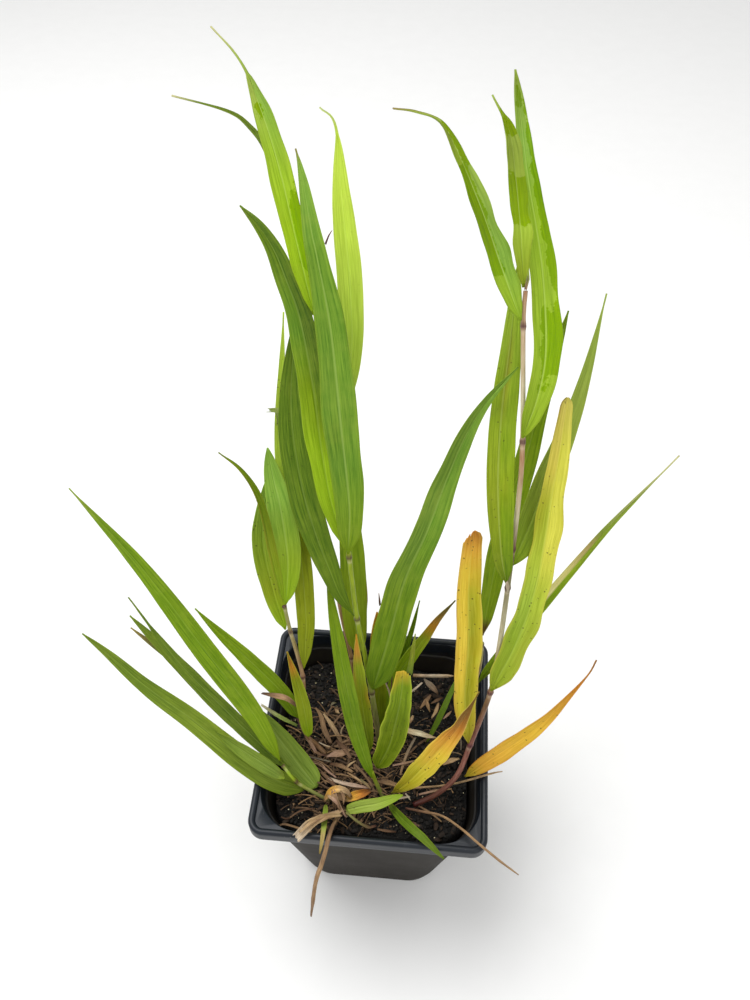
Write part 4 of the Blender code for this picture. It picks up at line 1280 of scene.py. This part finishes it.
def buildBlade(name, leaf, material, slot):
    form = bladeForm
    leaf = {**plainLeaf, **leaf}
    seed = sum(ord(letter) for letter in name) * 0.37   # gives each leaf its own waves
    points, length = evenRoute(leaf["route"], form["rowLength"], form["fewestRows"], 1)
    forwards = routeDirections(points)
    rows, columns, blunt = len(points) - 1, form["columns"], leaf["blunt"]
    turnFoot, turnTip = leaf["turn"]
    bm = bmesh.new()
    tint = bm.verts.layers.float_color.new("tint")
    wear = bm.verts.layers.float_color.new("wear")
    bladeMap = bm.loops.layers.uv.new("blade")
    grid = []
    for row in range(rows + 1):
        line = []
        for column in range(columns + 1):
            spread = column / columns * 2 - 1
            side = math.copysign(abs(spread) ** form["columnSpread"], spread)
            along = row / rows
            jag = noise.noise(Vector((column * form["raggedStep"], seed, 4)))
            torn = max(0, along * form["tornPart"] - (form["tornPart"] - 1))
            reach = along - (leaf["slant"] * side + leaf["ragged"] * jag) * torn
            place = min(max(reach, 0), 1) * rows
            lower = min(int(place), rows - 1)
            spot = points[lower].lerp(points[lower + 1], place - lower)
            forward = forwards[lower].lerp(forwards[lower + 1], place - lower).normalized()
            along = place / rows
            across = forward.cross(Vector(form["upperSide"])).normalized()
            roll = math.radians(turnFoot + (turnTip - turnFoot) * along)
            across = Quaternion(forward, roll) @ across
            face = across.cross(forward)
            # its outline
            wave = noise.noise(Vector((along * form["waveCount"], seed, math.copysign(3, spread))))
            half = bladeWidth(along * leaf["left"], leaf) / 2 * (1 + leaf["wavy"] * wave * form["waveGain"])
            if along > 1 - blunt:
                half *= math.sqrt(max(form["bluntEnd"], 1 - ((along - 1 + blunt) / blunt) ** 2))
            # its relief: rippled margins, veins and a groove along the midrib
            lift = math.radians(leaf["fold"]) * abs(side)
            relief = min(1, half / (form["fullRelief"] * mm))
            ripples = along * length / mm / form["rippleLength"]
            ripple = noise.noise(Vector((ripples, seed, math.copysign(7, spread))))
            ripple *= leaf["ripple"] * abs(side) ** form["rippleRise"]
            vein = form["ribHeight"] * (1 if column % 2 else -1) * (abs(side) < form["plainMargin"])
            groove = form["grooveDepth"] * math.exp(-(side / form["grooveWidth"]) ** 2)
            height = half * math.sin(lift) + (ripple + vein - groove) * mm * relief
            vert = bm.verts.new(spot + across * side * half * math.cos(lift) + face * height)
            vert[tint] = (*bladeColour(leaf, along, side), 1)
            wet = max([patchFade(along, side, patch) for patch in leaf["wet"]], default=0)
            vert[wear] = (leaf["specks"], wet, leaf["midrib"], 1)
            line.append(vert)
        grid.append(line)
    shift = leaf["ribShift"]
    for row, (here, ahead) in enumerate(zip(grid, grid[1:])):
        low, high = row / rows * length * mapScale, (row + 1) / rows * length * mapScale
        for column in range(columns):
            addFace(bm, (here[column], here[column + 1], ahead[column + 1], ahead[column]), bladeMap,
                    column / columns + shift, (column + 1) / columns + shift, low, high)
    piece = addPiece(name + "Blade", bm, material, slot=slot, replaced=(name,))
    solid = piece.modifiers.new("thickness", "SOLIDIFY")
    solid.thickness = form["thickness"] * mm
    solid.offset = 0


for leafName, leafForm in leafForms.items():
    if leafName in yellowLeaves:
        buildBlade(leafName, leafForm, yellowBlade, "yellow_blade")
    else:
        buildBlade(leafName, leafForm, greenBlade, "green_blade")
print("leaves made")


# each dry stalk: its radius, how flat and how wide it is, its colours and its route, in mm
stalkForms = {
    "stalk_over_front": dict(
        radius=1, flat=0.45, wide=1.75,
        stops={0: "tan", 0.3: "brownStraw", 0.6: "tan", 1: "brownStraw"},
        route=((-12.3, -33, 77.5), (-12.9, -39.5, 86.2), (-13.3, -42.6, 88.9), (-13.7, -46, 90.3),
            (-14.2, -50, 90), (-15.3, -53.8, 87), (-17.2, -58, 80), (-18.4, -66.7, 68.5))),
    "stalk_over_corner": dict(
        radius=0.6, flat=0.8, wide=1.1,
        stops={0: "reddish", 0.3: "tan", 1: "tan"},
        route=((14, -26.5, 75.8), (21, -28.5, 79), (28, -31, 83), (35, -37, 88.2), (41.3, -42.5, 90),
            (49.3, -47, 87), (56.5, -50, 83))),
    "stalk_right": dict(
        radius=0.5, flat=0.8, wide=1.1,
        stops={0: "tan", 1: "straw"},
        route=((10, -19, 75.5), (30, -17, 79), (46, -15.5, 90), (50, -15, 91.5))),
    "stalk_lying": dict(
        radius=0.9, flat=0.8, wide=1.1,
        stops={0: "tan", 0.5: "bleached", 1: "straw"},
        route=((13.5, 31, 77), (22, 31.2, 77.5), (31, 32.3, 77))),
}
stalkDetail = {
    "pitch": 1.2,
    "around": 14,
    "plainWidth": 1.3,     # a stalk as wide as this has the radius that its form gives
    "uneven": 0.16,
    "unevenStep": 0.35,
    "tipShare": 0.45,      # of the radius that its tip keeps
    "tipRise": 4,
    "grain": 0.25,
    "grainStep": 0.5,
}
witheredStrips = {
    "withered_leaf_left": strip("brown tan pinkTan brownStraw brown", (1.2, 2.4, 2.8, 2.5, 1),
        (-30.6, -1.6, 105.5), (-34.6, -0.2, 108.4), (-40, 0.7, 108.4), (-44.5, 1.8, 107), curl=75, twist=20),
    "withered_leaf_front": strip("straw tan straw bleached", (1.8, 2.2, 2.8, 4, 3.8), (-10.8, -33.8, 83),
        (-14, -35.6, 86.5), (-17, -38, 89.6), (-21, -41, 90.6), (-25, -46, 90.5), curl=80, twist=-25),
    "withered_leaf_brown": strip("straw gold amber rust", (2.4, 4, 4.2, 3.4, 1.2), (-10.4, -25.8, 77.3),
        (-7.3, -24.9, 78.5), (-4, -23.6, 79), (-0.5, -21.7, 78), curl=110, twist=30),
}


def buildStalk(name, form):
    detail = stalkDetail
    points, _ = evenRoute(form["route"], detail["pitch"], fewestRings)
    radii, colours = [], []
    for i in range(len(points)):
        along = i / (len(points) - 1)
        uneven = 1 + detail["uneven"] * noise.noise(Vector((i * detail["unevenStep"], len(name), 2)))
        grain = 1 + detail["grain"] * noise.noise(Vector((i * detail["grainStep"], len(name), 5)))
        tip = min(1, detail["tipShare"] + detail["tipRise"] * (1 - along))
        radii.append(form["radius"] * mm * uneven * tip * form["wide"] / detail["plainWidth"])
        colours.append(mixStops(form["stops"], along) * grain)
    buildTube(name + "Fibre", points, radii, colours, detail["around"], form["flat"],
              material=dryStraw, slot="dry_straw", replaced=(name,))


for stalkName, stalkForm in stalkForms.items():
    buildStalk(stalkName, stalkForm)
for leafName, leafStrip in witheredStrips.items():
    bm = tintedMesh()
    addStrip(bm, seed=len(leafName) * 1.7, **leafStrip)
    addPiece(leafName + "Flake", bm, dryStraw, slot="dry_straw", replaced=(leafName,), recalc=True)
print("stalks and withered leaves made")


# the dry knot at the front of the clump
knotStrips = {
    "knotBulge": strip("tan gold straw tan", (1.4, 3.4, 4, 3.2, 1.6), (-17.6, -27.2, 79),
        (-15.5, -24.6, 81), (-12.9, -23.7, 81.8), (-9.7, -23.9, 81), (-8, -25, 79.5), curl=150),
    "knotCore": strip("brown tan brownStraw", (2, 3.8, 2), (-15.2, -26, 79.4), (-12.8, -26, 80.6),
        (-10.2, -26.6, 79.6), curl=130),
    "knotFill": strip("brownStraw straw tan", (1.8, 3.2, 1.6), (-15, -24.8, 78.8), (-13.6, -27, 80.3),
        (-11.8, -29, 79.6), curl=110),
    "knotStrand": strip("pinkStraw tan pinkStraw", (2, 2.8, 2.4, 1.6), (-14.3, -24.7, 81.5),
        (-12.6, -28.1, 82), (-10.5, -30.8, 81.5), (-9.1, -32.8, 81), curl=140, twist=120),
    "knotWrap": strip("brown tan brownStraw", (1.2, 2.2, 2.6, 2, 1.2), (-15.5, -22, 78), (-14.6, -24, 80.5),
        (-14, -26.3, 82), (-13.6, -28.5, 80.5), (-13.5, -30, 78.5), curl=110),
    "knotFold": strip("straw pinkStraw tan", (1, 2.2, 2, 0.8), (-16.4, -26, 80.5), (-14.8, -27.6, 82.4),
        (-12.6, -29.6, 82.6), (-11.4, -31.4, 81.6), curl=110, twist=-60),
    "knotSpan": strip("brownStraw tan", (0.8, 1.6, 0.8), (-11.6, -24.6, 82), (-10.2, -26.6, 82.6),
        (-10, -29, 82), curl=120, twist=40),
    "knotEnd": strip("brownStraw tan straw", (0.8, 1.4, 1.6, 1.8, 1.2), (-11.6, -32, 80.6),
        (-14.4, -34.6, 83.4), (-17.6, -37.6, 88.4), (-20.6, -40.6, 91.4), (-24, -44.4, 91.6), curl=90,
        twist=40),
    "knotTail": strip("straw pinkStraw tan", (1.6, 2.2, 2.6, 2.2, 0.8), (-10.5, -31.5, 81),
        (-13.5, -33.5, 82.5), (-16, -36, 86), (-19, -39.5, 90.4), (-22, -42.5, 91.6), curl=120, twist=60),
}
# sheaths, thin tips and threads on culms and leaves
sheathStrips = {
    "leftSheath": strip("purple tan pinkStraw", (1.6, 2.4, 2.4, 1.8), (-32.1, 1.4, 93.3),
        (-29.5, -2.4, 89.4), (-26.6, -5.4, 84), (-24, -8, 79.2), curl=150),
    "leftSheathTip": strip("tan purple", (1.6, 1.2, 0.4), (-24, -8, 79.2), (-21.8, -8.2, 77.4),
        (-19.5, -8, 76.2), curl=140),
    "greenStrand": strip("husk sageDry sageLeaf", (0.9, 1.7, 1.8, 1.2), (-45, 0.1, 100.4),
        (-38.6, -1.4, 95.4), (-31.8, -1.6, 88.6), curl=45),
    "purpleTip": strip("purple reddish", (0.9, 0.7, 0.3), (-21.7, 71.5, 263.2), (-21, 73.2, 264.6),
        (-20.2, 74.4, 265.6), curl=120),
    "leafCurl": strip("sageLeaf sageDry sageLeaf", (2.2, 3, 2.2, 0.8), (-40.2, 53, 209.8),
        (-38.2, 52.9, 209.9), (-37.4, 51.7, 208.5), (-37.6, 50.5, 206.4), curl=120),
    "darkTip": strip("brown rust amber", (1.2, 0.9, 0.3), (-6.3, 22.9, 132.5), (-5.9, 26.8, 141),
        (-6.6, 30.8, 149.6), curl=140),
    "darkTipTwo": strip("brown rust", (0.9, 0.7, 0.3), (-0.5, 20.3, 147.4), (-0.8, 21.5, 149),
        (-1.1, 22.8, 150.6), curl=120),
    "paleStalk": strip("bleached straw", (0.5, 0.9, 0.7), (3, 3.5, 120.8), (4.7, 1.7, 116.6),
        (5.7, -0.5, 112.1), curl=150),
    "brownThread": strip("brownStraw brown", (0.7, 0.6, 0.3), (5.4, 1.4, 116.3), (5.5, 4.3, 121.3),
        (5.7, 7, 126.2), curl=150),
    "frontThread": strip("oliveLow oliveGold oliveYellow", (2.2, 2, 1.4, 0.4), (11.9, -1.8, 139),
        (12.4, 1.1, 144.3), (12.7, 3.6, 148.9), (13, 5.5, 153), curl=70),
    "baseBud": strip("pinkTan culmGreen springSoft", (1.2, 1.5, 0.5), (38.6, 63.4, 256.6),
        (38.9, 64.9, 258.8), (38.8, 66.4, 261), curl=160),
    "paleCollar": strip("culmPale bleached", (1.6, 2.2, 1.2), (42.6, 12.6, 172.6), (42.2, 12.9, 174.6),
        (41.8, 13.4, 176.6), curl=170),
    "whiteChip": strip("bleached husk", (0.5, 0.8, 0.3), (13.6, -22.4, 80), (14.5, -23.6, 80.6),
        (15.6, -24.8, 80), curl=60),
    "whiteChipTwo": strip("husk bleached", (0.4, 0.7, 0.3), (12.2, -20.4, 79.6), (12.8, -21, 80.2),
        (13.6, -21.4, 79.8), curl=60),
    "sproutStem": strip("tan oliveStraw", (0.8, 1, 1), (-10.5, -30.2, 77.5), (-8.2, -30.5, 79.6),
        (-5.5, -30.1, 81.9), curl=150),
}
buildStrips("dryKnot", knotStrips)
buildStrips("drySheaths", sheathStrips)
print("knot, sheaths and tips made")


# the larger straws and husks that lie on the soil
litterStrips = {
    "sheathPiece": strip("tan brownStraw", (0.8, 2.3, 2.5, 1.6), (-26, 10.5, 80), (-23.5, 7.5, 79),
        (-21.5, 2, 78), (-18.5, -2.5, 77.5)),
    "sheathPieceTwo": strip("straw brownStraw", (0.8, 2.1, 2.1, 1.2), (-22.5, 8.5, 79.5), (-19, 4.5, 79),
        (-15.5, 0, 78), (-13.5, -3, 77)),
    "paleSplinter": strip("bleached straw", (0.6, 0.8, 0.6), (-23, -3, 77), (-20.5, -4, 77), (-18, -4.5, 77)),
    "dryFlap": strip("pinkStraw tan", (0.8, 3.2, 3.2, 0.8), (-19, -9, 78), (-16, -8, 78.5), (-13, -7.5, 79),
        (-10, -5.5, 78.5)),
    "thinStrand": strip("greyStraw greyStraw", (0.6, 0.8, 0.8, 0.6), (-30.5, -8.5, 75.5), (-26, -9, 76),
        (-22.5, -9.5, 76), (-17.5, -10.5, 76.5)),
    "crossStraw": strip("tan pinkStraw", (0.6, 1.2, 1.2, 0.8), (-28.5, -11, 76), (-22, -12, 77),
        (-18, -15, 77.5), (-14.5, -17, 77)),
    "shortStraw": strip("straw straw", (0.6, 1, 0.6), (-11, -14, 78.5), (-9.5, -12, 79), (-7.5, -10.5, 79)),
    "paleBar": strip("bleached pinkStraw", (0.8, 1.8, 1.8, 1), (-18, -17.5, 77.5), (-12.5, -19.5, 78.5),
        (-6, -20.5, 79), (-1, -20.5, 78)),
    "thinSpike": strip("greyStraw straw", (0.8, 0.8, 0.4), (-14.5, 0, 77), (-14.5, 2.5, 78.5),
        (-13.5, 4, 80)),
    "slantStraw": strip("tan straw", (0.6, 1, 0.6), (-10, -15.5, 79), (-6.5, -17.5, 79.5), (-2.5, -19.5, 79)),
    "darkFlap": strip("brown brownStraw", (0.8, 2, 0.8), (-23, -14, 76.5), (-22, -17, 77),
        (-21, -19.5, 76.5)),
    "oliveStraw": strip("oliveStraw tan", (0.8, 1.4, 0.8), (-4.5, -18, 79.5), (-2.5, -19.5, 79.5),
        (-0.5, -21, 79)),
    "stripedStraw": strip("brownStraw tan", (1.2, 1.8, 1.2), (2.5, -18, 79), (5.5, -18.5, 79.5),
        (9, -19, 79)),
    "standingPale": strip("pinkStraw bleached", (0.8, 1, 0.4), (0.5, 9.5, 77), (0.5, 10.5, 79),
        (1, 11.5, 81)),
    "standingBrown": strip("brown brownStraw", (1.3, 1.7, 0.6), (1, 9.5, 76), (2, 11, 77.5), (3.5, 12, 79)),
    "huskBack": strip("tan straw", (0.6, 1.9, 0.6), (-18.5, 13, 76), (-17.5, 12, 76), (-16.5, 11, 76)),
    "huskGrey": strip("greyStraw oliveStraw", (0.6, 1.5, 0.6), (-20.5, 14.5, 75.5), (-19.5, 15.5, 76),
        (-18.5, 16, 75.5)),
    "jointedStraw": strip("straw husk straw", (1.6, 3, 3, 2.2, 0.5), (11, 5, 79), (14.5, 4, 79),
        (18, 3.5, 79), (21, 3, 78.5), (24.5, 3, 77.5)),
    "paleTwig": strip("bleached bleached", (1.1, 1.1, 0.9), (13.5, 23.5, 77), (15.5, 25, 78),
        (17.5, 27.5, 77.5)),
    "bigHusk": strip("greyStraw brownStraw", (0.9, 3, 3, 0.9), (18.5, 29.5, 77), (21, 26.5, 78),
        (23, 24.5, 78), (24.5, 23.5, 76.5)),
    "huskOne": strip("tan brownStraw", (0.8, 2.3, 0.9), (17.5, 16.5, 76), (19.5, 19, 77), (21.5, 22.5, 76.5)),
    "huskTwo": strip("tan tan", (0.8, 1.9, 0.6), (20, 20, 77), (20.5, 17, 77.5), (21.5, 15, 76.5)),
    "huskThree": strip("straw tan", (0.8, 1.9, 0.8), (22.5, 12.5, 76), (24, 15, 77), (25, 19, 76.5)),
    "huskFour": strip("brownStraw brown", (0.6, 1.7, 0.6), (22, 19, 76), (24.5, 20.5, 76.5), (26.5, 22, 76)),
    "huskPink": strip("pinkStraw tan", (0.6, 1.5, 0.6), (27.5, 12.5, 76), (29, 14, 76.5), (30.5, 16, 76)),
    "huskFront": strip("tan straw", (0.8, 2.4, 1), (28, -8, 77), (31, -6.5, 78), (34, -5, 77)),
    "thinHair": strip("greyStraw greyStraw", (0.6, 0.6, 0.4), (34.5, 5, 76.5), (35, 2.5, 76),
        (35, -0.5, 75.5)),
    "thinHairTwo": strip("greyStraw tan", (0.4, 0.6, 0.4), (31.5, -2, 76), (34, -2.5, 76.5), (35.5, -3, 76)),
    "pinkBar": strip("pinkStraw tan", (0.8, 1.2, 0.8), (8, -10.5, 78), (12, -9.5, 78.5), (16, -8, 78)),
    "longStraw": strip("tan greyStraw", (1, 1.4, 1), (11, -13.5, 77.5), (13, -5.5, 78.5), (16, 2, 78)),
    "stub": strip("tan straw", (1.2, 1.7, 0.8), (13.5, 9, 77.5), (14, 10, 78), (14.5, 11.5, 78)),
    "brownBar": strip("brownStraw tan", (1.2, 1.6, 1), (4, -17, 78.5), (7.5, -18, 79), (10.5, -18.5, 78.5)),
    "frontTwig": strip("brownStraw brown", (0.8, 0.9, 0.6), (-30.5, -34, 76), (-27, -31.5, 76.5),
        (-22, -30, 76.5)),
    "hookTwig": strip("brownStraw tan", (0.8, 1, 1, 1, 0.6), (-34.5, -37.5, 75.5), (-32.5, -37, 76.5),
        (-29, -37.5, 76.5), (-26, -38, 76), (-21.5, -38.5, 75.5)),
    "shortTwig": strip("brown brown", (0.6, 0.8, 0.6), (-34, -34, 75.5), (-32, -34.5, 75.5),
        (-30.5, -34, 75.5)),
    "reddishStem": strip("culmGreen reddish", (1, 1.2, 1.3, 1.2), (-8.5, -32, 80.5), (-4, -34.5, 79),
        (0, -35.5, 77), (2.5, -34.5, 76)),
    "frontChip": strip("brownStraw brown", (0.8, 1.2, 0.8), (4, -35.5, 75.5), (7.5, -36, 76),
        (10.5, -36, 76)),
    "frontCurl": strip("tan straw", (0.6, 1, 0.6), (-23.5, -38.5, 75.5), (-21.5, -39.5, 76),
        (-18.5, -39.5, 75.5)),
    "rightTwig": strip("brownStraw tan", (0.8, 1, 0.6), (18.5, -25, 76), (23.5, -27.5, 76), (28, -30.5, 76)),
    "backStraw": strip("tan greyStraw", (0.6, 0.8, 0.6), (-14.5, 17.5, 75.5), (-12.5, 14.5, 76),
        (-11, 10.5, 76)),
    "rightStraw": strip("pinkStraw tan", (0.8, 1.2, 0.8), (19, -21, 77), (26, -19, 77.5),
        (31.5, -17.5, 76.5)),
    "underStraw": strip("tan bleached", (1, 1.2, 0.8), (1, -27.5, 77.5), (8.5, -24.5, 78), (15, -22.5, 77.5)),
    "leftCrossing": strip("brownStraw tan", (0.8, 1.2, 0.8), (-22, -3.5, 76.5), (-17, -6, 77),
        (-11.5, -9.5, 77.5)),
    "centreHeap": strip("brown brownStraw", (1.2, 2.4, 1.2), (-16, -2, 78), (-12.5, -5.5, 79),
        (-9.5, -9.5, 79.5)),
    "centreHeapTwo": strip("brown tan", (1.2, 2, 1.2), (-17, -12, 78), (-13, -13, 79), (-8.5, -15, 79.5)),
    "centreHeapThree": strip("brownStraw brown", (1.2, 2, 1.2), (-20.5, -15.5, 77), (-16.5, -19, 78),
        (-13, -22.5, 78)),
}
buildStrips("dryLitter", litterStrips)


# each kind: its shape, how many lie on a square centimetre at most, scale from and to, size, how high it
# piles up, whether it lies in the litter or on open soil, and the two colours it is mixed from
scatterForms = {
    "crumbs": dict(shape="lump", perArea=58, scale=(0.35, 1.25), size=(0.72, 0.62, 0.5), pile=0.9, seed=3,
                   where="open", tints=("soilDark", "soilBrown"), slot="potting_soil"),
    "bark": dict(shape="lump", perArea=9, scale=(0.5, 1.5), size=(1.6, 0.8, 0.4), pile=1.2, seed=8,
                 where="open", tints=("soilDark", "barkBrown"), slot="potting_soil"),
    "grit": dict(shape="lump", perArea=6, scale=(0.4, 1.1), size=(0.34, 0.28, 0.22), pile=1.6, seed=21,
                 where="open", tints=("barkBrown", "husk"), slot="potting_soil"),
    "mulch": dict(shape="lump", perArea=22, scale=(0.5, 1.5), size=(1.9, 0.6, 0.3), pile=3.2, seed=14,
                  where="litter", tints=("soilDark", "mulch"), slot="dry_straw"),
    "husks": dict(shape="lump", perArea=7, scale=(0.5, 1.3), size=(1.9, 0.6, 0.2), pile=3.6, seed=12,
                  where="litter", tints=("mulch", "mulchLight"), slot="dry_straw"),
    "straws": dict(shape="stick", perArea=6, scale=(0.4, 1.3), size=(5.4, 1.2, 0.42), pile=4.2, seed=5,
                   where="litter", tints=("mulch", "mulchLight"), slot="dry_straw"),
    "thinStraws": dict(shape="stick", perArea=11, scale=(0.4, 1.4), size=(4.6, 1.8, 0.2), pile=4.6, seed=9,
                       where="litter", tints=("mulch", "tan"), slot="dry_straw"),
    "fibres": dict(shape="stick", perArea=9, scale=(0.4, 1.4), size=(5, 3.4, 0.1), pile=5, seed=17,
                   where="litter", tints=("mulch", "mulchLight"), slot="dry_straw"),
    "looseBits": dict(shape="stick", perArea=2.4, scale=(0.3, 0.8), size=(3, 0.9, 0.26), pile=1, seed=31,
                      where="open", tints=("mulch", "brownStraw"), slot="dry_straw"),
}
scatterShapes = {
    "lump": {"segments": 8, "rings": 5, "dentScale": 1.3, "tilt": ((-0.5, -0.5, 0.0), (0.5, 0.5, 6.28))},
    "stick": {"points": 7, "sides": 5, "bow": 0.2, "arch": 0.16, "tilt": ((-0.3, -0.3, -1.0), (0.3, 0.3, 1.3))},
}
litterBed = {
    "half": 38.4,
    "cells": 64,
    "corner": 16,
    "centre": (-8, -10),
    "reach": (24, 23),
    "edge": 1.4,           # how sharply the litter ends
    "covered": 0.6,        # how much less loose soil lies where the litter is thick
}


def insideBed(x, y):
    bed = litterBed
    corner = Vector([max(abs(part) - bed["half"] + bed["corner"], 0) for part in (x, y)])
    return corner.length < bed["corner"]


def buildBed():
    # the soil's top as a bare sheet, with how much litter and how much open soil each place has
    bed = litterBed
    bm = bmesh.new()
    bmesh.ops.create_grid(bm, x_segments=bed["cells"], y_segments=bed["cells"], size=bed["half"] * mm)
    litter = bm.verts.layers.float.new("litter")
    openSoil = bm.verts.layers.float.new("open")
    for vert in list(bm.verts):
        x, y = vert.co.x / mm, vert.co.y / mm
        if not insideBed(x, y):
            bm.verts.remove(vert)
            continue
        across, deep = (x - bed["centre"][0]) / bed["reach"][0], (y - bed["centre"][1]) / bed["reach"][1]
        vert[litter] = math.exp(-(across * across + deep * deep) ** bed["edge"])
        vert[openSoil] = 1 - bed["covered"] * vert[litter]
        vert.co.z = soilHeight(x, y) * mm
    return addPiece("bed", bm, soilCrumb, riding=False)


def scatterTree(name, form, material):
    # points spread over the sheet and raised into a pile, each with its own lump or bent stick
    tree = bpy.data.node_groups.new(name, "GeometryNodeTree")
    tree.interface.new_socket("Geometry", in_out="INPUT", socket_type="NodeSocketGeometry")
    for label in ("Density", "Smallest", "Largest", "Pile"):
        tree.interface.new_socket(label, in_out="INPUT", socket_type="NodeSocketFloat")
    tree.interface.new_socket("Seed", in_out="INPUT", socket_type="NodeSocketInt")
    tree.interface.new_socket("Geometry", in_out="OUTPUT", socket_type="NodeSocketGeometry")

    def named(sockets, label):
        return next(socket for socket in sockets if socket.name == label and socket.enabled)

    def add(kind, values, **settings):
        node = tree.nodes.new(kind)
        node.location = (len(tree.nodes) * 180, 0)
        for setting, value in settings.items():
            setattr(node, setting, value)
        for label, value in values.items():
            if isinstance(value, bpy.types.NodeSocket):
                tree.links.new(value, named(node.inputs, label))
            else:
                named(node.inputs, label).default_value = value
        return node

    def times(first, second):
        node = tree.nodes.new("ShaderNodeMath")
        node.operation = "MULTIPLY"
        tree.links.new(first, node.inputs[0])
        tree.links.new(second, node.inputs[1])
        return node.outputs[0]

    def draw(low, high, seed, kind="FLOAT"):
        node = add("FunctionNodeRandomValue", {"Min": low, "Max": high, "Seed": seed}, data_type=kind)
        return named(node.outputs, "Value")

    group = tree.nodes.new("NodeGroupInput").outputs
    thick = add("GeometryNodeInputNamedAttribute", {"Name": form["where"]}, data_type="FLOAT")
    thick = named(thick.outputs, "Attribute")
    spots = add("GeometryNodeDistributePointsOnFaces",
                {"Mesh": group["Geometry"], "Density": times(thick, group["Density"]), "Seed": group["Seed"]})
    heap = times(draw(0.0, group["Pile"], 1), thick)
    offset = add("ShaderNodeCombineXYZ", {"Z": heap})
    raised = add("GeometryNodeSetPosition", {"Geometry": spots.outputs["Points"], "Offset": offset.outputs[0]})
    look = scatterShapes[form["shape"]]
    long, wide, high = (part * mm for part in form["size"])
    if form["shape"] == "lump":
        ball = add("GeometryNodeMeshUVSphere",
                   {"Segments": look["segments"], "Rings": look["rings"], "Radius": 1.0})
        dents = add("ShaderNodeTexNoise", {"Scale": look["dentScale"], "Detail": 1.0})
        shifted = add("ShaderNodeVectorMath", {"Vector": dents.outputs["Color"]}, operation="SUBTRACT")
        shifted.inputs[1].default_value = (0.5, 0.5, 0.5)
        lumpy = add("GeometryNodeSetPosition", {"Geometry": ball.outputs["Mesh"], "Offset": shifted.outputs[0]})
        shape = add("GeometryNodeTransform", {"Geometry": lumpy.outputs[0], "Scale": (long, wide, high)})
    else:
        bow = add("GeometryNodeCurveQuadraticBezier",
                  {"Resolution": look["points"], "Start": (-long, 0.0, 0.0),
                   "Middle": (long * look["bow"], wide, long * look["arch"]), "End": (long, 0.0, 0.0)})
        ring = add("GeometryNodeCurvePrimitiveCircle", {"Resolution": look["sides"], "Radius": high})
        shape = add("GeometryNodeCurveToMesh",
                    {"Curve": bow.outputs[0], "Profile Curve": ring.outputs[0], "Fill Caps": True})
    turn = draw(*look["tilt"], 2, "FLOAT_VECTOR")
    size = draw(group["Smallest"], group["Largest"], 3)
    placed = add("GeometryNodeInstanceOnPoints",
                 {"Points": raised.outputs[0], "Instance": shape.outputs[0], "Rotation": turn, "Scale": size})
    first, second = form["tints"]
    colour = add("ShaderNodeMix", {"Factor": draw(0.0, 1.0, 4), "A": palette[first], "B": palette[second]},
                 data_type="RGBA")
    painted = add("GeometryNodeStoreNamedAttribute",
                  {"Geometry": placed.outputs[0], "Name": "tint", "Value": named(colour.outputs, "Result")},
                  data_type="FLOAT_COLOR", domain="INSTANCE")
    real = add("GeometryNodeRealizeInstances", {"Geometry": painted.outputs[0]})
    finished = add("GeometryNodeSetMaterial", {"Geometry": real.outputs[0], "Material": material})
    tree.links.new(finished.outputs[0], tree.nodes.new("NodeGroupOutput").inputs[0])
    return tree


def scatter(name, form, bed, material):
    tree = scatterTree(name, form, material)
    squareCentimetre = (10 * mm) ** 2
    smallest, largest = form["scale"]
    values = {"Density": form["perArea"] / squareCentimetre, "Smallest": smallest, "Largest": largest,
              "Pile": form["pile"] * mm, "Seed": form["seed"]}
    spread = bed.modifiers.new("scatter", "NODES")
    spread.node_group = tree
    for item in tree.interface.items_tree:
        if item.in_out == "INPUT" and item.name in values:
            spread[item.identifier] = values[item.name]
    bed.update_tag()
    mesh = bpy.data.meshes.new_from_object(bed.evaluated_get(bpy.context.evaluated_depsgraph_get()))
    bed.modifiers.remove(spread)
    mesh.shade_smooth()
    piece = bpy.data.objects.new(name, mesh)
    bpy.context.scene.collection.objects.link(piece)
    finishPiece(piece)
    print(name, len(mesh.polygons), "faces")


soilSheet = buildBed()
for scatterName, scatterForm in scatterForms.items():
    material = soilCrumb if scatterForm["slot"] == "potting_soil" else strawBit
    scatter(scatterName, scatterForm, soilSheet, material)
bpy.data.objects.remove(soilSheet)
print("litter made")
